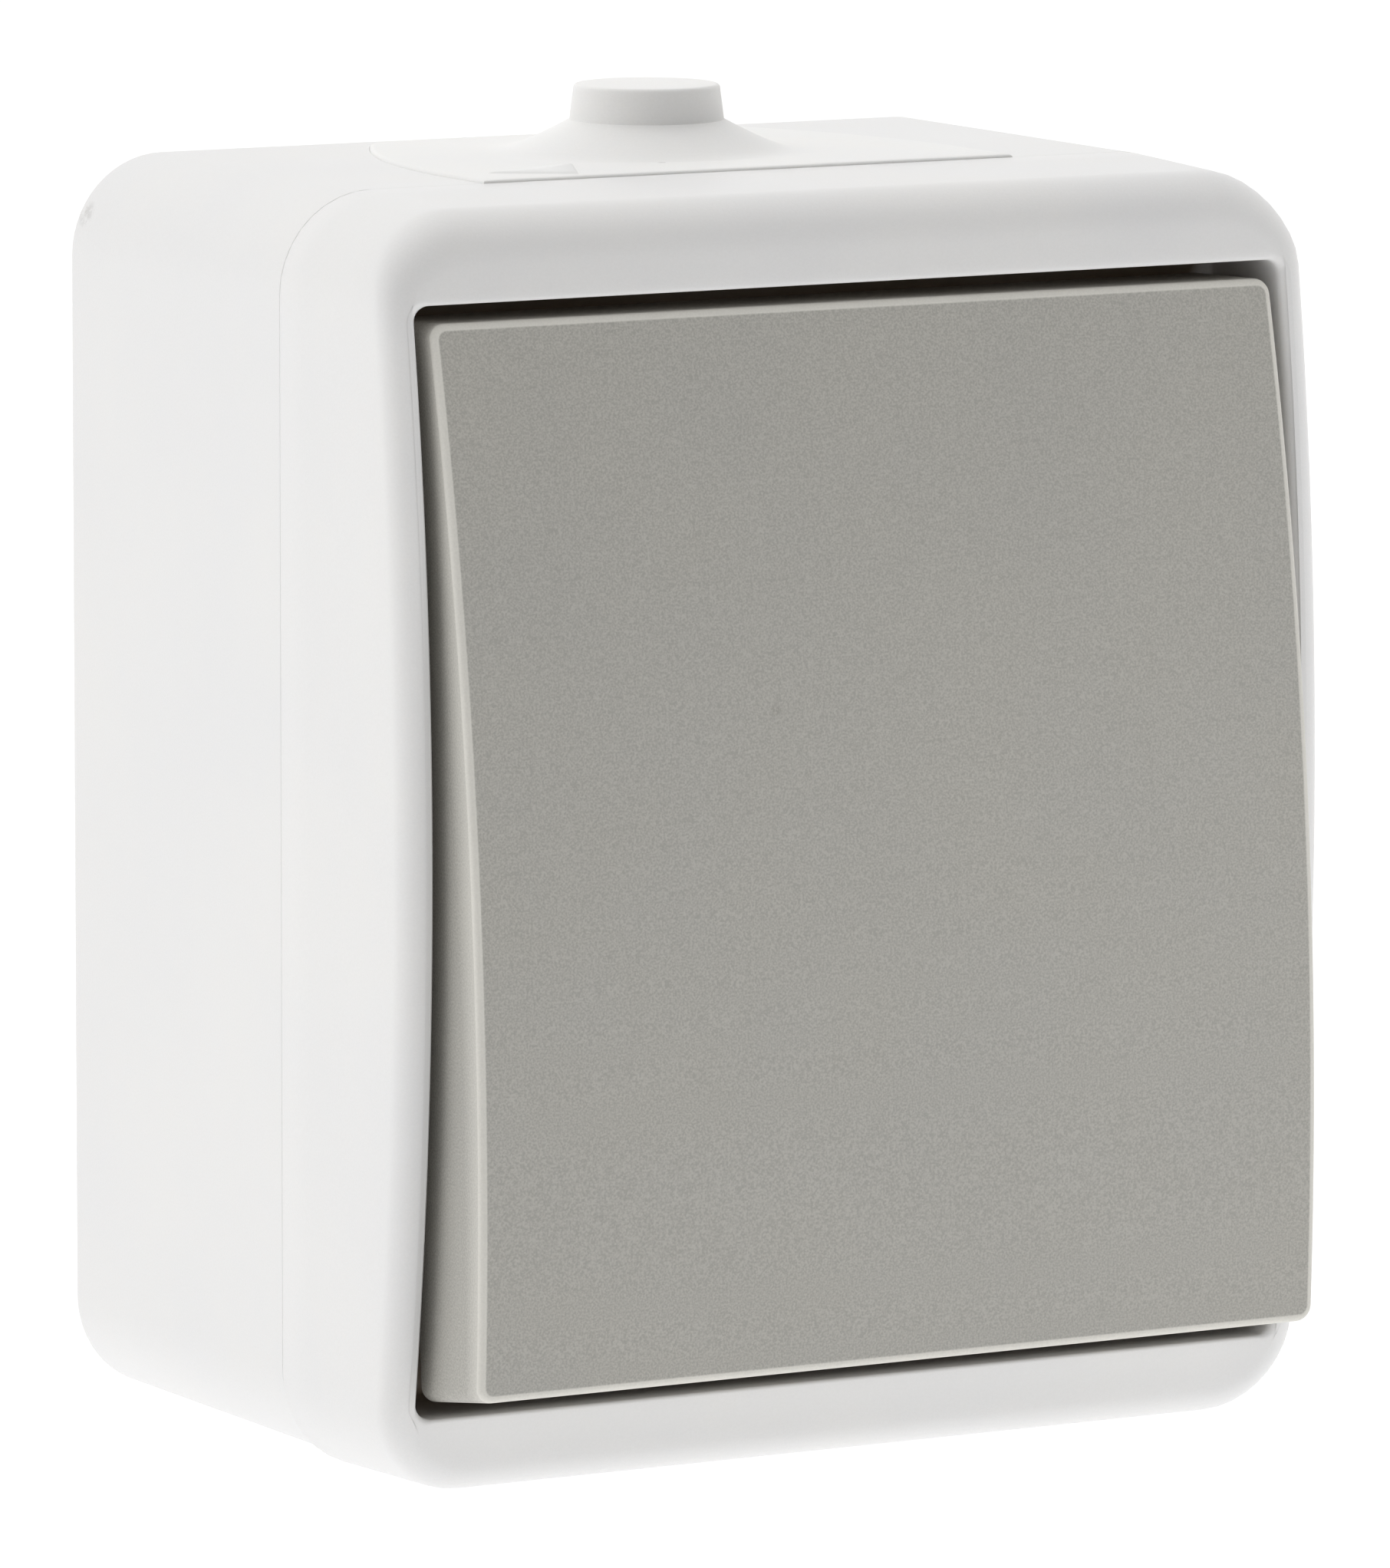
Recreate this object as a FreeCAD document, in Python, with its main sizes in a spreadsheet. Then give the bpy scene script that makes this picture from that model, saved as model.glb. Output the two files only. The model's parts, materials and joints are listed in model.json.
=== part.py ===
import FreeCAD, Part
import math
import os
import Sketcher
from FreeCAD import Placement, Rotation, Vector

# Outdoor weatherproof surface switch, in millimetres.
# X runs to the right, Y into the wall and Z up. The origin is the centre of the box's back face,
# so a depth of 10 lies at Y = -10. Sketches on the upright plane therefore pad towards the user.

doc = FreeCAD.newDocument("weatherproof_switch")
sheet = doc.addObject("Spreadsheet::Sheet", "sizes")

SIZES = (
    # Back box
    ("body_width", 66.0, "overall width"),
    ("body_height", 79.0, "overall height of the box"),
    ("corner_radius", 6.3, "outer corners seen from the front"),
    ("box_depth", 28.5, "wall to parting line"),
    ("box_wall", 2.8, "side walls of the box"),
    ("rear_wall", 2.2, "wall that lies on the building"),
    ("lip_wall", 1.6, "outer lip left beside the rebate of the rim"),
    ("rebate_depth", 4.0, "rebate of the rim"),
    ("bolt_inset", 9.5, "fixing hole from the top or bottom of the box"),
    ("bolt_hole", 4.5, "fixing hole diameter"),
    ("bolt_boss", 9.0, "boss round a fixing hole, diameter"),
    ("bolt_boss_rise", 2.0, "boss above the rear wall"),
    ("pillar_side", 9.5, "frame screw pillar from the side of the box"),
    ("pillar_end", 13.5, "frame screw pillar from the top or bottom of the box"),
    ("pillar_width", 7.0, "pillar diameter"),
    ("pillar_drop", 6.5, "tray to the top of the pillars"),
    ("pin_width", 3.4, "locating pin diameter"),
    ("pin_rise", 2.4, "locating pin above its pillar"),
    ("knockout_width", 20.0, "round knock-out in the floor of the box"),
    ("knockout_groove", 0.9, "width and depth of its groove"),
    # Front frame
    ("frame_rise", 15.75, "parting line to the crest of the arched face"),
    ("arch_radius", 235.0, "arch of the frame and of the rocker"),
    ("drip_lip", 0.4, "rear rim stands below the box"),
    ("frame_edge", 1.75, "rounding between face and sides"),
    ("centre_drop", 0.5, "middle of the opening below the middle of the box"),
    ("stile_width", 2.45, "frame beside the opening"),
    ("rail_height", 5.35, "frame above and below the opening"),
    ("opening_radius", 1.0, "corners of the opening"),
    ("tray_rise", 5.0, "parting line to the front of the inner tray"),
    ("tray_wall", 2.0, "tray thickness"),
    ("skirt_wall", 1.0, "skirt that plugs into the rebate"),
    ("skirt_gap", 0.15, "between skirt and lip"),
    ("boss_width", 8.0, "screw boss behind the tray"),
    ("dam_wall", 1.2, "water dam round the window"),
    ("dam_rise", 1.5, "water dam above the tray"),
    # Seals
    ("seal_depth", 1.5, "rim seal, front to back"),
    ("seal_gap", 0.05, "rim seal to the walls of its rebate"),
    ("screw_seal_width", 6.6, "ring under a frame screw"),
    ("screw_seal_thickness", 1.0, "ring under a frame screw"),
    # Cable membrane
    ("plate_front", 37.6, "membrane plate along the parting line"),
    ("plate_back", 25.0, "membrane plate at the back of the box"),
    ("plate_margin", 1.8, "membrane plate from the back face of the box"),
    ("plate_straight", 4.5, "straight stretch of the plate's sides"),
    ("plate_corner", 3.0, "back corners of the plate"),
    ("plate_shelf", 5.2, "neck of the membrane behind the parting line"),
    ("plate_thickness", 1.0, "membrane plate"),
    ("plate_proud", 0.3, "membrane plate above the box"),
    ("plate_neck", 3.0, "neck of the membrane inside the plate's edge"),
    ("plate_gap", 0.1, "membrane to the walls of its seat"),
    ("plate_inner", 1.2, "flange behind the wall, thickness"),
    ("nipple_depth", 14.3, "axis of the nipple from the wall"),
    ("nipple_foot", 18.4, "foot of the cone, diameter"),
    ("nipple_waist", 9.8, "top of the cone, diameter"),
    ("nipple_top", 9.3, "top of the nipple, diameter"),
    ("nipple_cone_rise", 1.9, "cone above the plate"),
    ("nipple_rise", 4.1, "nipple above the plate"),
    ("nipple_wall", 1.1, "rubber of the nipple"),
    # Rocker
    ("pivot_rise", 3.5, "tray to the hinge line of the rocker"),
    ("rocker_tilt", 5.4, "rocker from level, either way"),
    ("rocker_side_gap", 0.85, "rocker to the sides of the opening"),
    ("rocker_end_gap", 1.4, "level rocker to the ends of the opening"),
    ("rocker_crest", 10.26, "hinge line to the crest of the face"),
    ("rocker_rear", 0.3, "hinge line to the rear of the skirt"),
    ("rocker_radius", 1.6, "corners seen from the front"),
    ("rocker_edge", 0.4, "bevel along the edge of the face"),
    ("rocker_wall", 1.8, "face and skirt"),
    ("rib_wall", 1.2, "ribs behind the face"),
    ("rib_rise", 1.6, "ribs behind the face"),
    ("rib_across", 21.0, "ribs from the middle"),
    ("clip_width", 5.0, "clip legs"),
    ("clip_wall", 1.4, "clip legs"),
    ("clip_up", 5.0, "clip legs from the middle"),
    ("hook_reach", 0.8, "hook under the carrier"),
    # Rocker carrier
    ("platform_width", 26.0, "platform that carries the rocker"),
    ("platform_height", 22.0, "platform that carries the rocker"),
    ("platform_rear", 6.0, "hinge line to the rear of the platform"),
    ("platform_thickness", 1.8, "platform"),
    ("neck_width", 12.0, "neck through the boot"),
    ("neck_height", 8.0, "neck through the boot"),
    ("core_width", 18.0, "core between the cheeks"),
    ("core_height", 9.0, "core between the cheeks"),
    ("core_rear", 1.6, "core behind the hinge line"),
    ("core_front", 3.0, "core in front of the hinge line"),
    ("trunnion_width", 3.0, "trunnion diameter"),
    ("trunnion_reach", 12.2, "end of a trunnion from the middle"),
    ("running_gap", 0.05, "trunnion in its bearing, all round"),
    ("barrel_width", 6.4, "barrel for the spring"),
    ("barrel_reach", 9.5, "barrel behind the hinge line"),
    ("barrel_bore", 3.8, "bore of the barrel"),
    ("barrel_end", 2.3, "end of the bore in front of the hinge line"),
    # Plunger and spring
    ("plunger_width", 3.6, "plunger shank"),
    ("plunger_head", 4.5, "head of the plunger behind the hinge line"),
    ("plunger_gap", 0.1, "tip of the plunger to the contact lever"),
    ("plunger_cone", 4.0, "tapered end"),
    ("plunger_tip", 0.8, "radius of the tip"),
    ("spring_width", 3.4, "spring, outside"),
    ("spring_wire", 0.4, "spring wire, drawn with a square section"),
    ("spring_turns", 4.5, "turns of the spring"),
    # Mechanism
    ("base_side_room", 14.0, "mechanism base from the side of the box"),
    ("base_height", 44.0, "mechanism base"),
    ("base_drop", 7.5, "tray to the front of the base"),
    ("base_depth", 15.0, "mechanism base, front to back"),
    ("base_floor", 2.2, "floor of the base"),
    ("base_radius", 2.5, "corners of the base"),
    ("ear_inset", 10.0, "fixing ear from the side of the box"),
    ("ear_width", 8.0, "fixing ear"),
    ("ear_drop", 6.0, "front of the base to the front of the ear"),
    ("ear_thickness", 3.0, "fixing ear"),
    ("cover_plate", 2.0, "mechanism cover"),
    ("step_width", 30.0, "step that the boot's flange sits on"),
    ("step_height", 25.2, "step that the boot's flange sits on"),
    ("turret_width", 24.8, "turret of the cover"),
    ("turret_height", 19.6, "turret of the cover"),
    ("turret_drop", 2.5, "hinge line to the top of the turret"),
    ("cheek_inner", 9.3, "bearing cheek from the middle"),
    ("cheek_half", 3.0, "half width of a cheek and its rounded end"),
    ("slot_width", 7.8, "slot for the barrel"),
    ("slot_height", 10.4, "slot for the barrel"),
    # Boot
    ("boot_wall", 0.8, "rubber of the boot"),
    ("boot_gap", 0.2, "boot to the turret and to the window"),
    ("boot_flange", 1.2, "clamped flange"),
    ("boot_roof", 3.4, "hinge line to the inside of the roof"),
    ("boot_lip", 0.6, "boot to the neck"),
    # Contacts
    ("lever_rise", 7.0, "back of the base to the edge that the contact lever rocks on"),
    ("lever_tilt", 7.2, "contact lever from level, either way"),
    ("lever_width", 5.0, "contact lever"),
    ("lever_thickness", 1.0, "contact lever"),
    ("lever_up", 13.4, "upper arm"),
    ("lever_down", 12.4, "lower arm"),
    ("lever_gap", 0.05, "knife edge to the lever"),
    ("contact_arm", 11.5, "contact from the pivot"),
    ("contact_width", 3.4, "contact rivets"),
    ("moving_contact_rise", 1.0, "moving contact under the lever"),
    ("contact_gap_closed", 0.15, "contacts left apart when closed"),
    ("chamber_width", 6.0, "lever chamber"),
    ("chamber_height", 29.4, "lever chamber"),
    ("strip_thickness", 0.8, "copper strips"),
    ("strip_width", 5.4, "copper strips"),
    ("strip_gap", 0.2, "strip to its channel"),
    ("knife_rise", 1.2, "tapered edge that the contact lever rocks on"),
    ("terminal_up", 15.8, "terminal above the middle"),
    ("block_size", 8.0, "terminal block"),
    ("block_depth", 9.0, "terminal block, front to back"),
    ("wire_level", 3.24, "strip to the axis of the wire hole"),
    ("pocket_width", 9.6, "terminal pocket"),
    ("wire_hole", 3.4, "wire hole of a terminal"),
    ("wire_entry", 4.6, "wire entry of the base"),
    ("terminal_thread", 3.5, "terminal screw"),
    ("terminal_head", 5.2, "terminal screw head"),
    ("terminal_head_rise", 1.8, "terminal screw head"),
    ("driver_hole", 5.8, "hole for the screwdriver in the cover"),
    # Screws
    ("screw_width", 3.0, "frame and mechanism screws"),
    ("screw_head", 6.0, "screw heads"),
    ("screw_head_rise", 2.0, "screw heads"),
    ("screw_grip", 12.0, "thread in a pillar"),
    ("post_grip", 6.0, "thread in a post of the mechanism"),
    ("screw_clearance", 0.2, "screw in a clearance hole, all round"),
    ("thread_play", 0.04, "screw in its pilot hole, all round"),
    ("slot_cut", 0.9, "driver slot"),
)

for row, (alias, value, meaning) in enumerate(SIZES, start=1):
    sheet.set(f"A{row}", meaning)
    sheet.set(f"B{row}", str(value))
    sheet.setAlias(f"B{row}", alias)
doc.recompute()

gauge = doc.addObject("App::FeaturePython", "gauge")

# Lengths that count as equal, edges that count as lying on a surface, how near an edge is looked for,
# how far it may lean, and the shortest straight stretch of the membrane's sides
SAME, ON_SURFACE, NEAR, LEAN, LEAST_STRAIGHT = 1e-6, 1e-3, 0.5, 0.01, 1.0


def number(expression):
    """Present value of an expression of the sheet's sizes."""
    result = gauge.evalExpression(expression)
    return float(getattr(result, "Value", result))


# Outlines for sketches

def fix(sketch, edge, end, across=None, up=None):
    """Holds one point of a sketch at expressions of the sheet."""
    for kind, axis, expression in (("DistanceX", -2, across), ("DistanceY", -1, up)):
        if expression is None:
            continue
        value = number(expression)
        if abs(value) < SAME:
            sketch.addConstraint(Sketcher.Constraint("PointOnObject", edge, end, axis))
            continue
        index = sketch.addConstraint(Sketcher.Constraint(kind, -1, 1, edge, end, value))
        sketch.setExpression(f"Constraints[{index}]", expression)


def measure(sketch, kind, edge, expression):
    """Binds a radius or diameter to an expression of the sheet."""
    index = sketch.addConstraint(Sketcher.Constraint(kind, edge, number(expression)))
    sketch.setExpression(f"Constraints[{index}]", expression)


def polygon(*corners):
    """Straight sides through corners given as (across, up) expressions."""
    def draw(sketch):
        first = sketch.GeometryCount
        spots = [Vector(number(across), number(up), 0) for across, up in corners]
        count = len(spots)
        for index in range(count):
            sketch.addGeometry(Part.LineSegment(spots[index], spots[(index + 1) % count]))
        for index, (across, up) in enumerate(corners):
            following = first + (index + 1) % count
            sketch.addConstraint(Sketcher.Constraint("Coincident", first + index, 2, following, 1))
            fix(sketch, first + index, 1, across, up)
    return draw


def rectangle(width, height, across="0", up="0"):
    """Upright rectangle about a centre."""
    left, right = f"{across} - ({width}) / 2", f"{across} + ({width}) / 2"
    low, high = f"{up} - ({height}) / 2", f"{up} + ({height}) / 2"
    return polygon((left, low), (right, low), (right, high), (left, high))


def rounded(width, height, radius, across="0", up="0"):
    """Rectangle about a centre whose four corners are arcs of one radius."""
    def draw(sketch):
        first = sketch.GeometryCount
        x, y, r = number(across), number(up), number(radius)
        right, top = x + number(width) / 2, y + number(height) / 2
        left, low = 2 * x - right, 2 * y - top
        sides = (((left + r, low), (right - r, low)), ((right, low + r), (right, top - r)),
                 ((right - r, top), (left + r, top)), ((left, top - r), (left, low + r)))
        for start, end in sides:
            sketch.addGeometry(Part.LineSegment(Vector(*start, 0), Vector(*end, 0)))
        turns = (((right - r, low + r), 270), ((right - r, top - r), 0),
                 ((left + r, top - r), 90), ((left + r, low + r), 180))
        for centre, angle in turns:
            circle = Part.Circle(Vector(*centre, 0), Vector(0, 0, 1), r)
            begin = math.radians(angle)
            sketch.addGeometry(Part.ArcOfCircle(circle, begin, begin + math.pi / 2))
        for index in range(4):
            side, turn, following = first + index, first + 4 + index, first + (index + 1) % 4
            sketch.addConstraint(Sketcher.Constraint("Tangent", side, 2, turn, 1))
            sketch.addConstraint(Sketcher.Constraint("Tangent", turn, 2, following, 1))
            direction = "Vertical" if index % 2 else "Horizontal"
            sketch.addConstraint(Sketcher.Constraint(direction, side))
        for index in range(3):
            sketch.addConstraint(Sketcher.Constraint("Equal", first + 4 + index, first + 5 + index))
        measure(sketch, "Radius", first + 4, radius)
        fix(sketch, first, 1, up=f"{up} - ({height}) / 2")
        fix(sketch, first + 1, 1, across=f"{across} + ({width}) / 2")
        fix(sketch, first + 2, 1, up=f"{up} + ({height}) / 2")
        fix(sketch, first + 3, 1, across=f"{across} - ({width}) / 2")
    return draw


def circle(diameter, across="0", up="0"):
    """Circle about a centre."""
    def draw(sketch):
        edge = sketch.GeometryCount
        centre = Vector(number(across), number(up), 0)
        sketch.addGeometry(Part.Circle(centre, Vector(0, 0, 1), number(diameter) / 2))
        measure(sketch, "Diameter", edge, diameter)
        fix(sketch, edge, 3, across, up)
    return draw


def side_of_arch(crest, middle, half, radius, rear):
    """Side view between an upright line and an arch: crest and rear are depths, half its reach."""
    centre = f"({radius}) - ({crest})"

    def draw(sketch):
        y, z, r, reach = number(centre), number(middle), number(radius), number(half)
        edge_y, rear_y = y - math.sqrt(r * r - reach * reach), -number(rear)
        turn = math.asin(reach / r)
        arc = Part.Circle(Vector(y, z, 0), Vector(0, 0, 1), r)
        sketch.addGeometry(Part.ArcOfCircle(arc, math.pi - turn, math.pi + turn))
        corners = [(edge_y, z - reach), (rear_y, z - reach), (rear_y, z + reach), (edge_y, z + reach)]
        for start, end in zip(corners, corners[1:]):
            sketch.addGeometry(Part.LineSegment(Vector(*start, 0), Vector(*end, 0)))
        for index in range(4):
            sketch.addConstraint(Sketcher.Constraint("Coincident", index, 2, (index + 1) % 4, 1))
        measure(sketch, "Radius", 0, radius)
        fix(sketch, 0, 3, centre, middle)
        fix(sketch, 0, 1, up=f"{middle} + {half}")
        fix(sketch, 0, 2, up=f"{middle} - {half}")
        fix(sketch, 2, 1, f"-({rear})", f"{middle} - {half}")
        fix(sketch, 2, 2, f"-({rear})", f"{middle} + {half}")
    return draw


def plate_plan(inset, shelf="0"):
    """Plan of the cable membrane: straight along the parting line, drawn in by arcs to the back."""
    front = f"-sizes.box_depth + ({inset}) + ({shelf})"
    turn = "-sizes.box_depth + sizes.plate_straight"
    back = f"-sizes.plate_margin - ({inset})"
    wide = f"(sizes.plate_front / 2 - ({inset}))"
    narrow = f"(sizes.plate_back / 2 - ({inset}))"

    def draw(sketch):
        x, x_back, y, y_turn, y_back = (number(item) for item in (wide, narrow, front, turn, back))
        y_turn = max(y_turn, y + LEAST_STRAIGHT)
        inward, along = x - x_back, y_back - y_turn
        r = (inward * inward + along * along) / (2 * inward)
        sweep = math.asin(along / r)
        sketch.addGeometry(Part.LineSegment(Vector(-x, y, 0), Vector(x, y, 0)))
        sketch.addGeometry(Part.LineSegment(Vector(x, y, 0), Vector(x, y_turn, 0)))
        right = Part.Circle(Vector(x - r, y_turn, 0), Vector(0, 0, 1), r)
        sketch.addGeometry(Part.ArcOfCircle(right, 0, sweep))
        sketch.addGeometry(Part.LineSegment(Vector(x_back, y_back, 0), Vector(-x_back, y_back, 0)))
        left = Part.Circle(Vector(r - x, y_turn, 0), Vector(0, 0, 1), r)
        sketch.addGeometry(Part.ArcOfCircle(left, math.pi - sweep, math.pi))
        sketch.addGeometry(Part.LineSegment(Vector(-x, y_turn, 0), Vector(-x, y, 0)))
        for index, following in ((0, 1), (2, 3), (3, 4), (5, 0)):
            sketch.addConstraint(Sketcher.Constraint("Coincident", index, 2, following, 1))
        for index in (1, 4):
            sketch.addConstraint(Sketcher.Constraint("Tangent", index, 2, index + 1, 1))
        for side in (1, 5):
            sketch.addConstraint(Sketcher.Constraint("Vertical", side))
        fix(sketch, 0, 1, "-" + wide, front)
        fix(sketch, 0, 2, wide, front)
        fix(sketch, 3, 1, narrow, back)
        fix(sketch, 3, 2, "-" + narrow, back)
        if y_turn == number(turn):
            fix(sketch, 1, 2, up=turn)
            fix(sketch, 5, 1, up=turn)
        else:
            fix(sketch, 1, 2, up=f"{front} + {LEAST_STRAIGHT}")
            fix(sketch, 5, 1, up=f"{front} + {LEAST_STRAIGHT}")
    return draw


# Bodies and their features

def new_body(label, depth="0", up="0", tilt="0"):
    """A piece that is drawn about its own point, at a depth and height, and tipped about X."""
    made = doc.addObject("PartDesign::Body", label)
    made.Label = label
    spot = Vector(0, -number(depth), number(up))
    made.Placement = Placement(spot, Rotation(Vector(1, 0, 0), number(tilt)))
    return made


def datum(owner, role):
    """Origin plane or axis of a body."""
    return next(item for item in owner.Origin.OriginFeatures if item.Role == role)


def sketch_on(owner, role, outlines, offset):
    """Sketch on an origin plane of its body, moved along the plane's normal."""
    made = owner.newObject("Sketcher::SketchObject", owner.Name + "_sketch")
    made.AttachmentSupport = [(datum(owner, role), "")]
    made.MapMode = "FlatFace"
    made.setExpression("AttachmentOffset.Base.z", offset)
    for outline in outlines:
        outline(made)
    return made


def pad(owner, outlines, start, end, role="XZ_Plane"):
    """Material from one depth to another, or between heights on the level plane."""
    made = owner.newObject("PartDesign::Pad", owner.Name + "_pad")
    made.Profile = sketch_on(owner, role, outlines, start)
    made.setExpression("Length", f"{end} - ({start})")
    return made


def cut(owner, outlines, start, end, role="XZ_Plane"):
    """Removes material from one depth or height to another."""
    made = owner.newObject("PartDesign::Pocket", owner.Name + "_cut")
    made.Profile = sketch_on(owner, role, outlines, end)
    made.setExpression("Length", f"{end} - ({start})")
    return made


def symmetric(owner, kind, outline, width, middle="0"):
    """Side view outline padded or cut evenly to both sides of a plane across X."""
    made = owner.newObject("PartDesign::" + kind, owner.Name + "_side")
    made.Profile = sketch_on(owner, "YZ_Plane", [outline], middle)
    made.SideType = "Symmetric"
    made.setExpression("Length", width)
    return made


def turned(owner, outline, axis, role="YZ_Plane", kind="Revolution"):
    """Outline turned fully round an origin axis of its body."""
    made = owner.newObject("PartDesign::" + kind, owner.Name + "_turned")
    made.Profile = sketch_on(owner, role, [outline], "0")
    made.ReferenceAxis = (datum(owner, axis), [""])
    made.Angle = 360
    return made


def mirrored(owner, originals, role="YZ_Plane"):
    """The same features on the other side of an origin plane."""
    made = owner.newObject("PartDesign::Mirrored", owner.Name + "_mirrored")
    made.Originals = originals
    made.MirrorPlane = (datum(owner, role), [""])
    owner.Tip = made
    return made


def half_turn(owner, originals):
    """The same features once more, half a turn round the axis towards the user."""
    doc.recompute()
    made = owner.newObject("PartDesign::PolarPattern", owner.Name + "_pair")
    made.Originals = originals
    made.Axis = (datum(owner, "Y_Axis"), [""])
    made.Angle = 360
    made.Occurrences = 2
    owner.Tip = made
    return made


def paired(owner, distance):
    """The whole piece once more, a distance to the right."""
    doc.recompute()
    made = owner.newObject("PartDesign::LinearPattern", owner.Name + "_pair")
    made.TransformMode = "Whole shape"
    made.Direction = (datum(owner, "X_Axis"), [""])
    made.setExpression("Length", distance)
    made.Occurrences = 2
    owner.Tip = made


def soften(owner, base, wanted, size, kind="Fillet"):
    """Rounds or chamfers the edges of a feature that a test picks."""
    doc.recompute()
    names = [f"Edge{index + 1}" for index, edge in enumerate(base.Shape.Edges) if wanted(edge)]
    if not names:
        raise RuntimeError("no edge to round on " + owner.Label)
    made = owner.newObject("PartDesign::" + kind, owner.Name + "_edge")
    made.Base = (base, names)
    made.setExpression("Radius" if kind == "Fillet" else "Size", size)
    return made


MIDDLE = "-sizes.centre_drop"
TRAY = "(sizes.box_depth + sizes.tray_rise)"
CREST = "(sizes.box_depth + sizes.frame_rise)"
PIVOT = f"({TRAY} + sizes.pivot_rise)"
OPENING_WIDTH = "(sizes.body_width - 2 * sizes.stile_width)"
OPENING_HEIGHT = "(sizes.body_height - 2 * sizes.rail_height)"
ROCKER_WIDTH = f"({OPENING_WIDTH} - 2 * sizes.rocker_side_gap)"
ROCKER_HEIGHT = f"({OPENING_HEIGHT} - 2 * sizes.rocker_end_gap)"
PILLAR_ACROSS = "(sizes.body_width / 2 - sizes.pillar_side)"
PILLAR_UP = "(sizes.body_height / 2 - sizes.pillar_end)"
PILLAR_TOP = f"({TRAY} - sizes.pillar_drop)"
BOLT_UP = "(sizes.body_height / 2 - sizes.bolt_inset)"
TURRET_FRONT = f"({PIVOT} - sizes.turret_drop)"
BASE_WIDTH = "(sizes.body_width - 2 * sizes.base_side_room)"
BASE_FRONT = f"({TRAY} - sizes.base_drop)"
BASE_REAR = f"({BASE_FRONT} - sizes.base_depth)"
EAR_ACROSS = "(sizes.body_width / 2 - sizes.ear_inset)"
EAR_FRONT = f"({BASE_FRONT} - sizes.ear_drop)"
LEVER_PIVOT = f"({BASE_REAR} + sizes.lever_rise)"
PLUNGER_REACH = f"({PIVOT} - {LEVER_PIVOT} - sizes.lever_thickness - sizes.plunger_gap)"
TERMINAL_ACROSS = f"(({BASE_WIDTH} + sizes.chamber_width) / 4)"
BOX_TOP = "(sizes.body_height / 2)"
SEAT = "(sizes.body_height / 2 + sizes.plate_proud - sizes.plate_thickness)"
INNER_TOP = "(sizes.body_height / 2 - sizes.box_wall)"
TRAY_REAR = f"({TRAY} - sizes.tray_wall)"
SKIRT_REAR = "(sizes.box_depth - sizes.rebate_depth + sizes.seal_depth)"
STEP_FRONT = f"({TRAY} - sizes.tray_wall - sizes.boot_flange)"
PLATE_REAR = f"({EAR_FRONT} - sizes.ear_thickness)"
FLOOR = f"({BASE_REAR} + sizes.base_floor)"
STRIP_FRONT = f"({BASE_REAR} + sizes.base_floor + sizes.strip_thickness)"
BLOCK_FRONT = f"({STRIP_FRONT} + sizes.block_depth)"
WIRE_DEPTH = f"({STRIP_FRONT} + sizes.wire_level)"
TERMINAL_SPOT = (f"-{TERMINAL_ACROSS}", "(sizes.terminal_up - sizes.centre_drop)")


def along_z(edge):
    """A straight edge that runs up and down."""
    along = edge.tangentAt(edge.FirstParameter)
    return edge.Length > NEAR and math.hypot(along.x, along.y) < LEAN


def at_plate_back(edge):
    """An upright edge at a back corner of the membrane's plate."""
    spot = edge.valueAt(edge.FirstParameter)
    across = abs(abs(spot.x) - number("sizes.plate_back / 2")) < NEAR
    ahead = abs(spot.y + number("sizes.plate_margin")) < NEAR
    return along_z(edge) and across and ahead


def on_arch(crest, middle="0"):
    """Test for an edge whose ends lie on the arch, given the depth of its crest and its middle height."""
    axis_y, axis_z = number(f"sizes.arch_radius - {crest}"), number(middle)
    radius = number("sizes.arch_radius")

    def wanted(edge):
        spots = [edge.valueAt(at) for at in (edge.FirstParameter, edge.LastParameter)]
        return all(abs(math.hypot(spot.y - axis_y, spot.z - axis_z) - radius) < ON_SURFACE
                   for spot in spots)
    return wanted


# Back box with its pillars, posts and fixing holes

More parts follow.
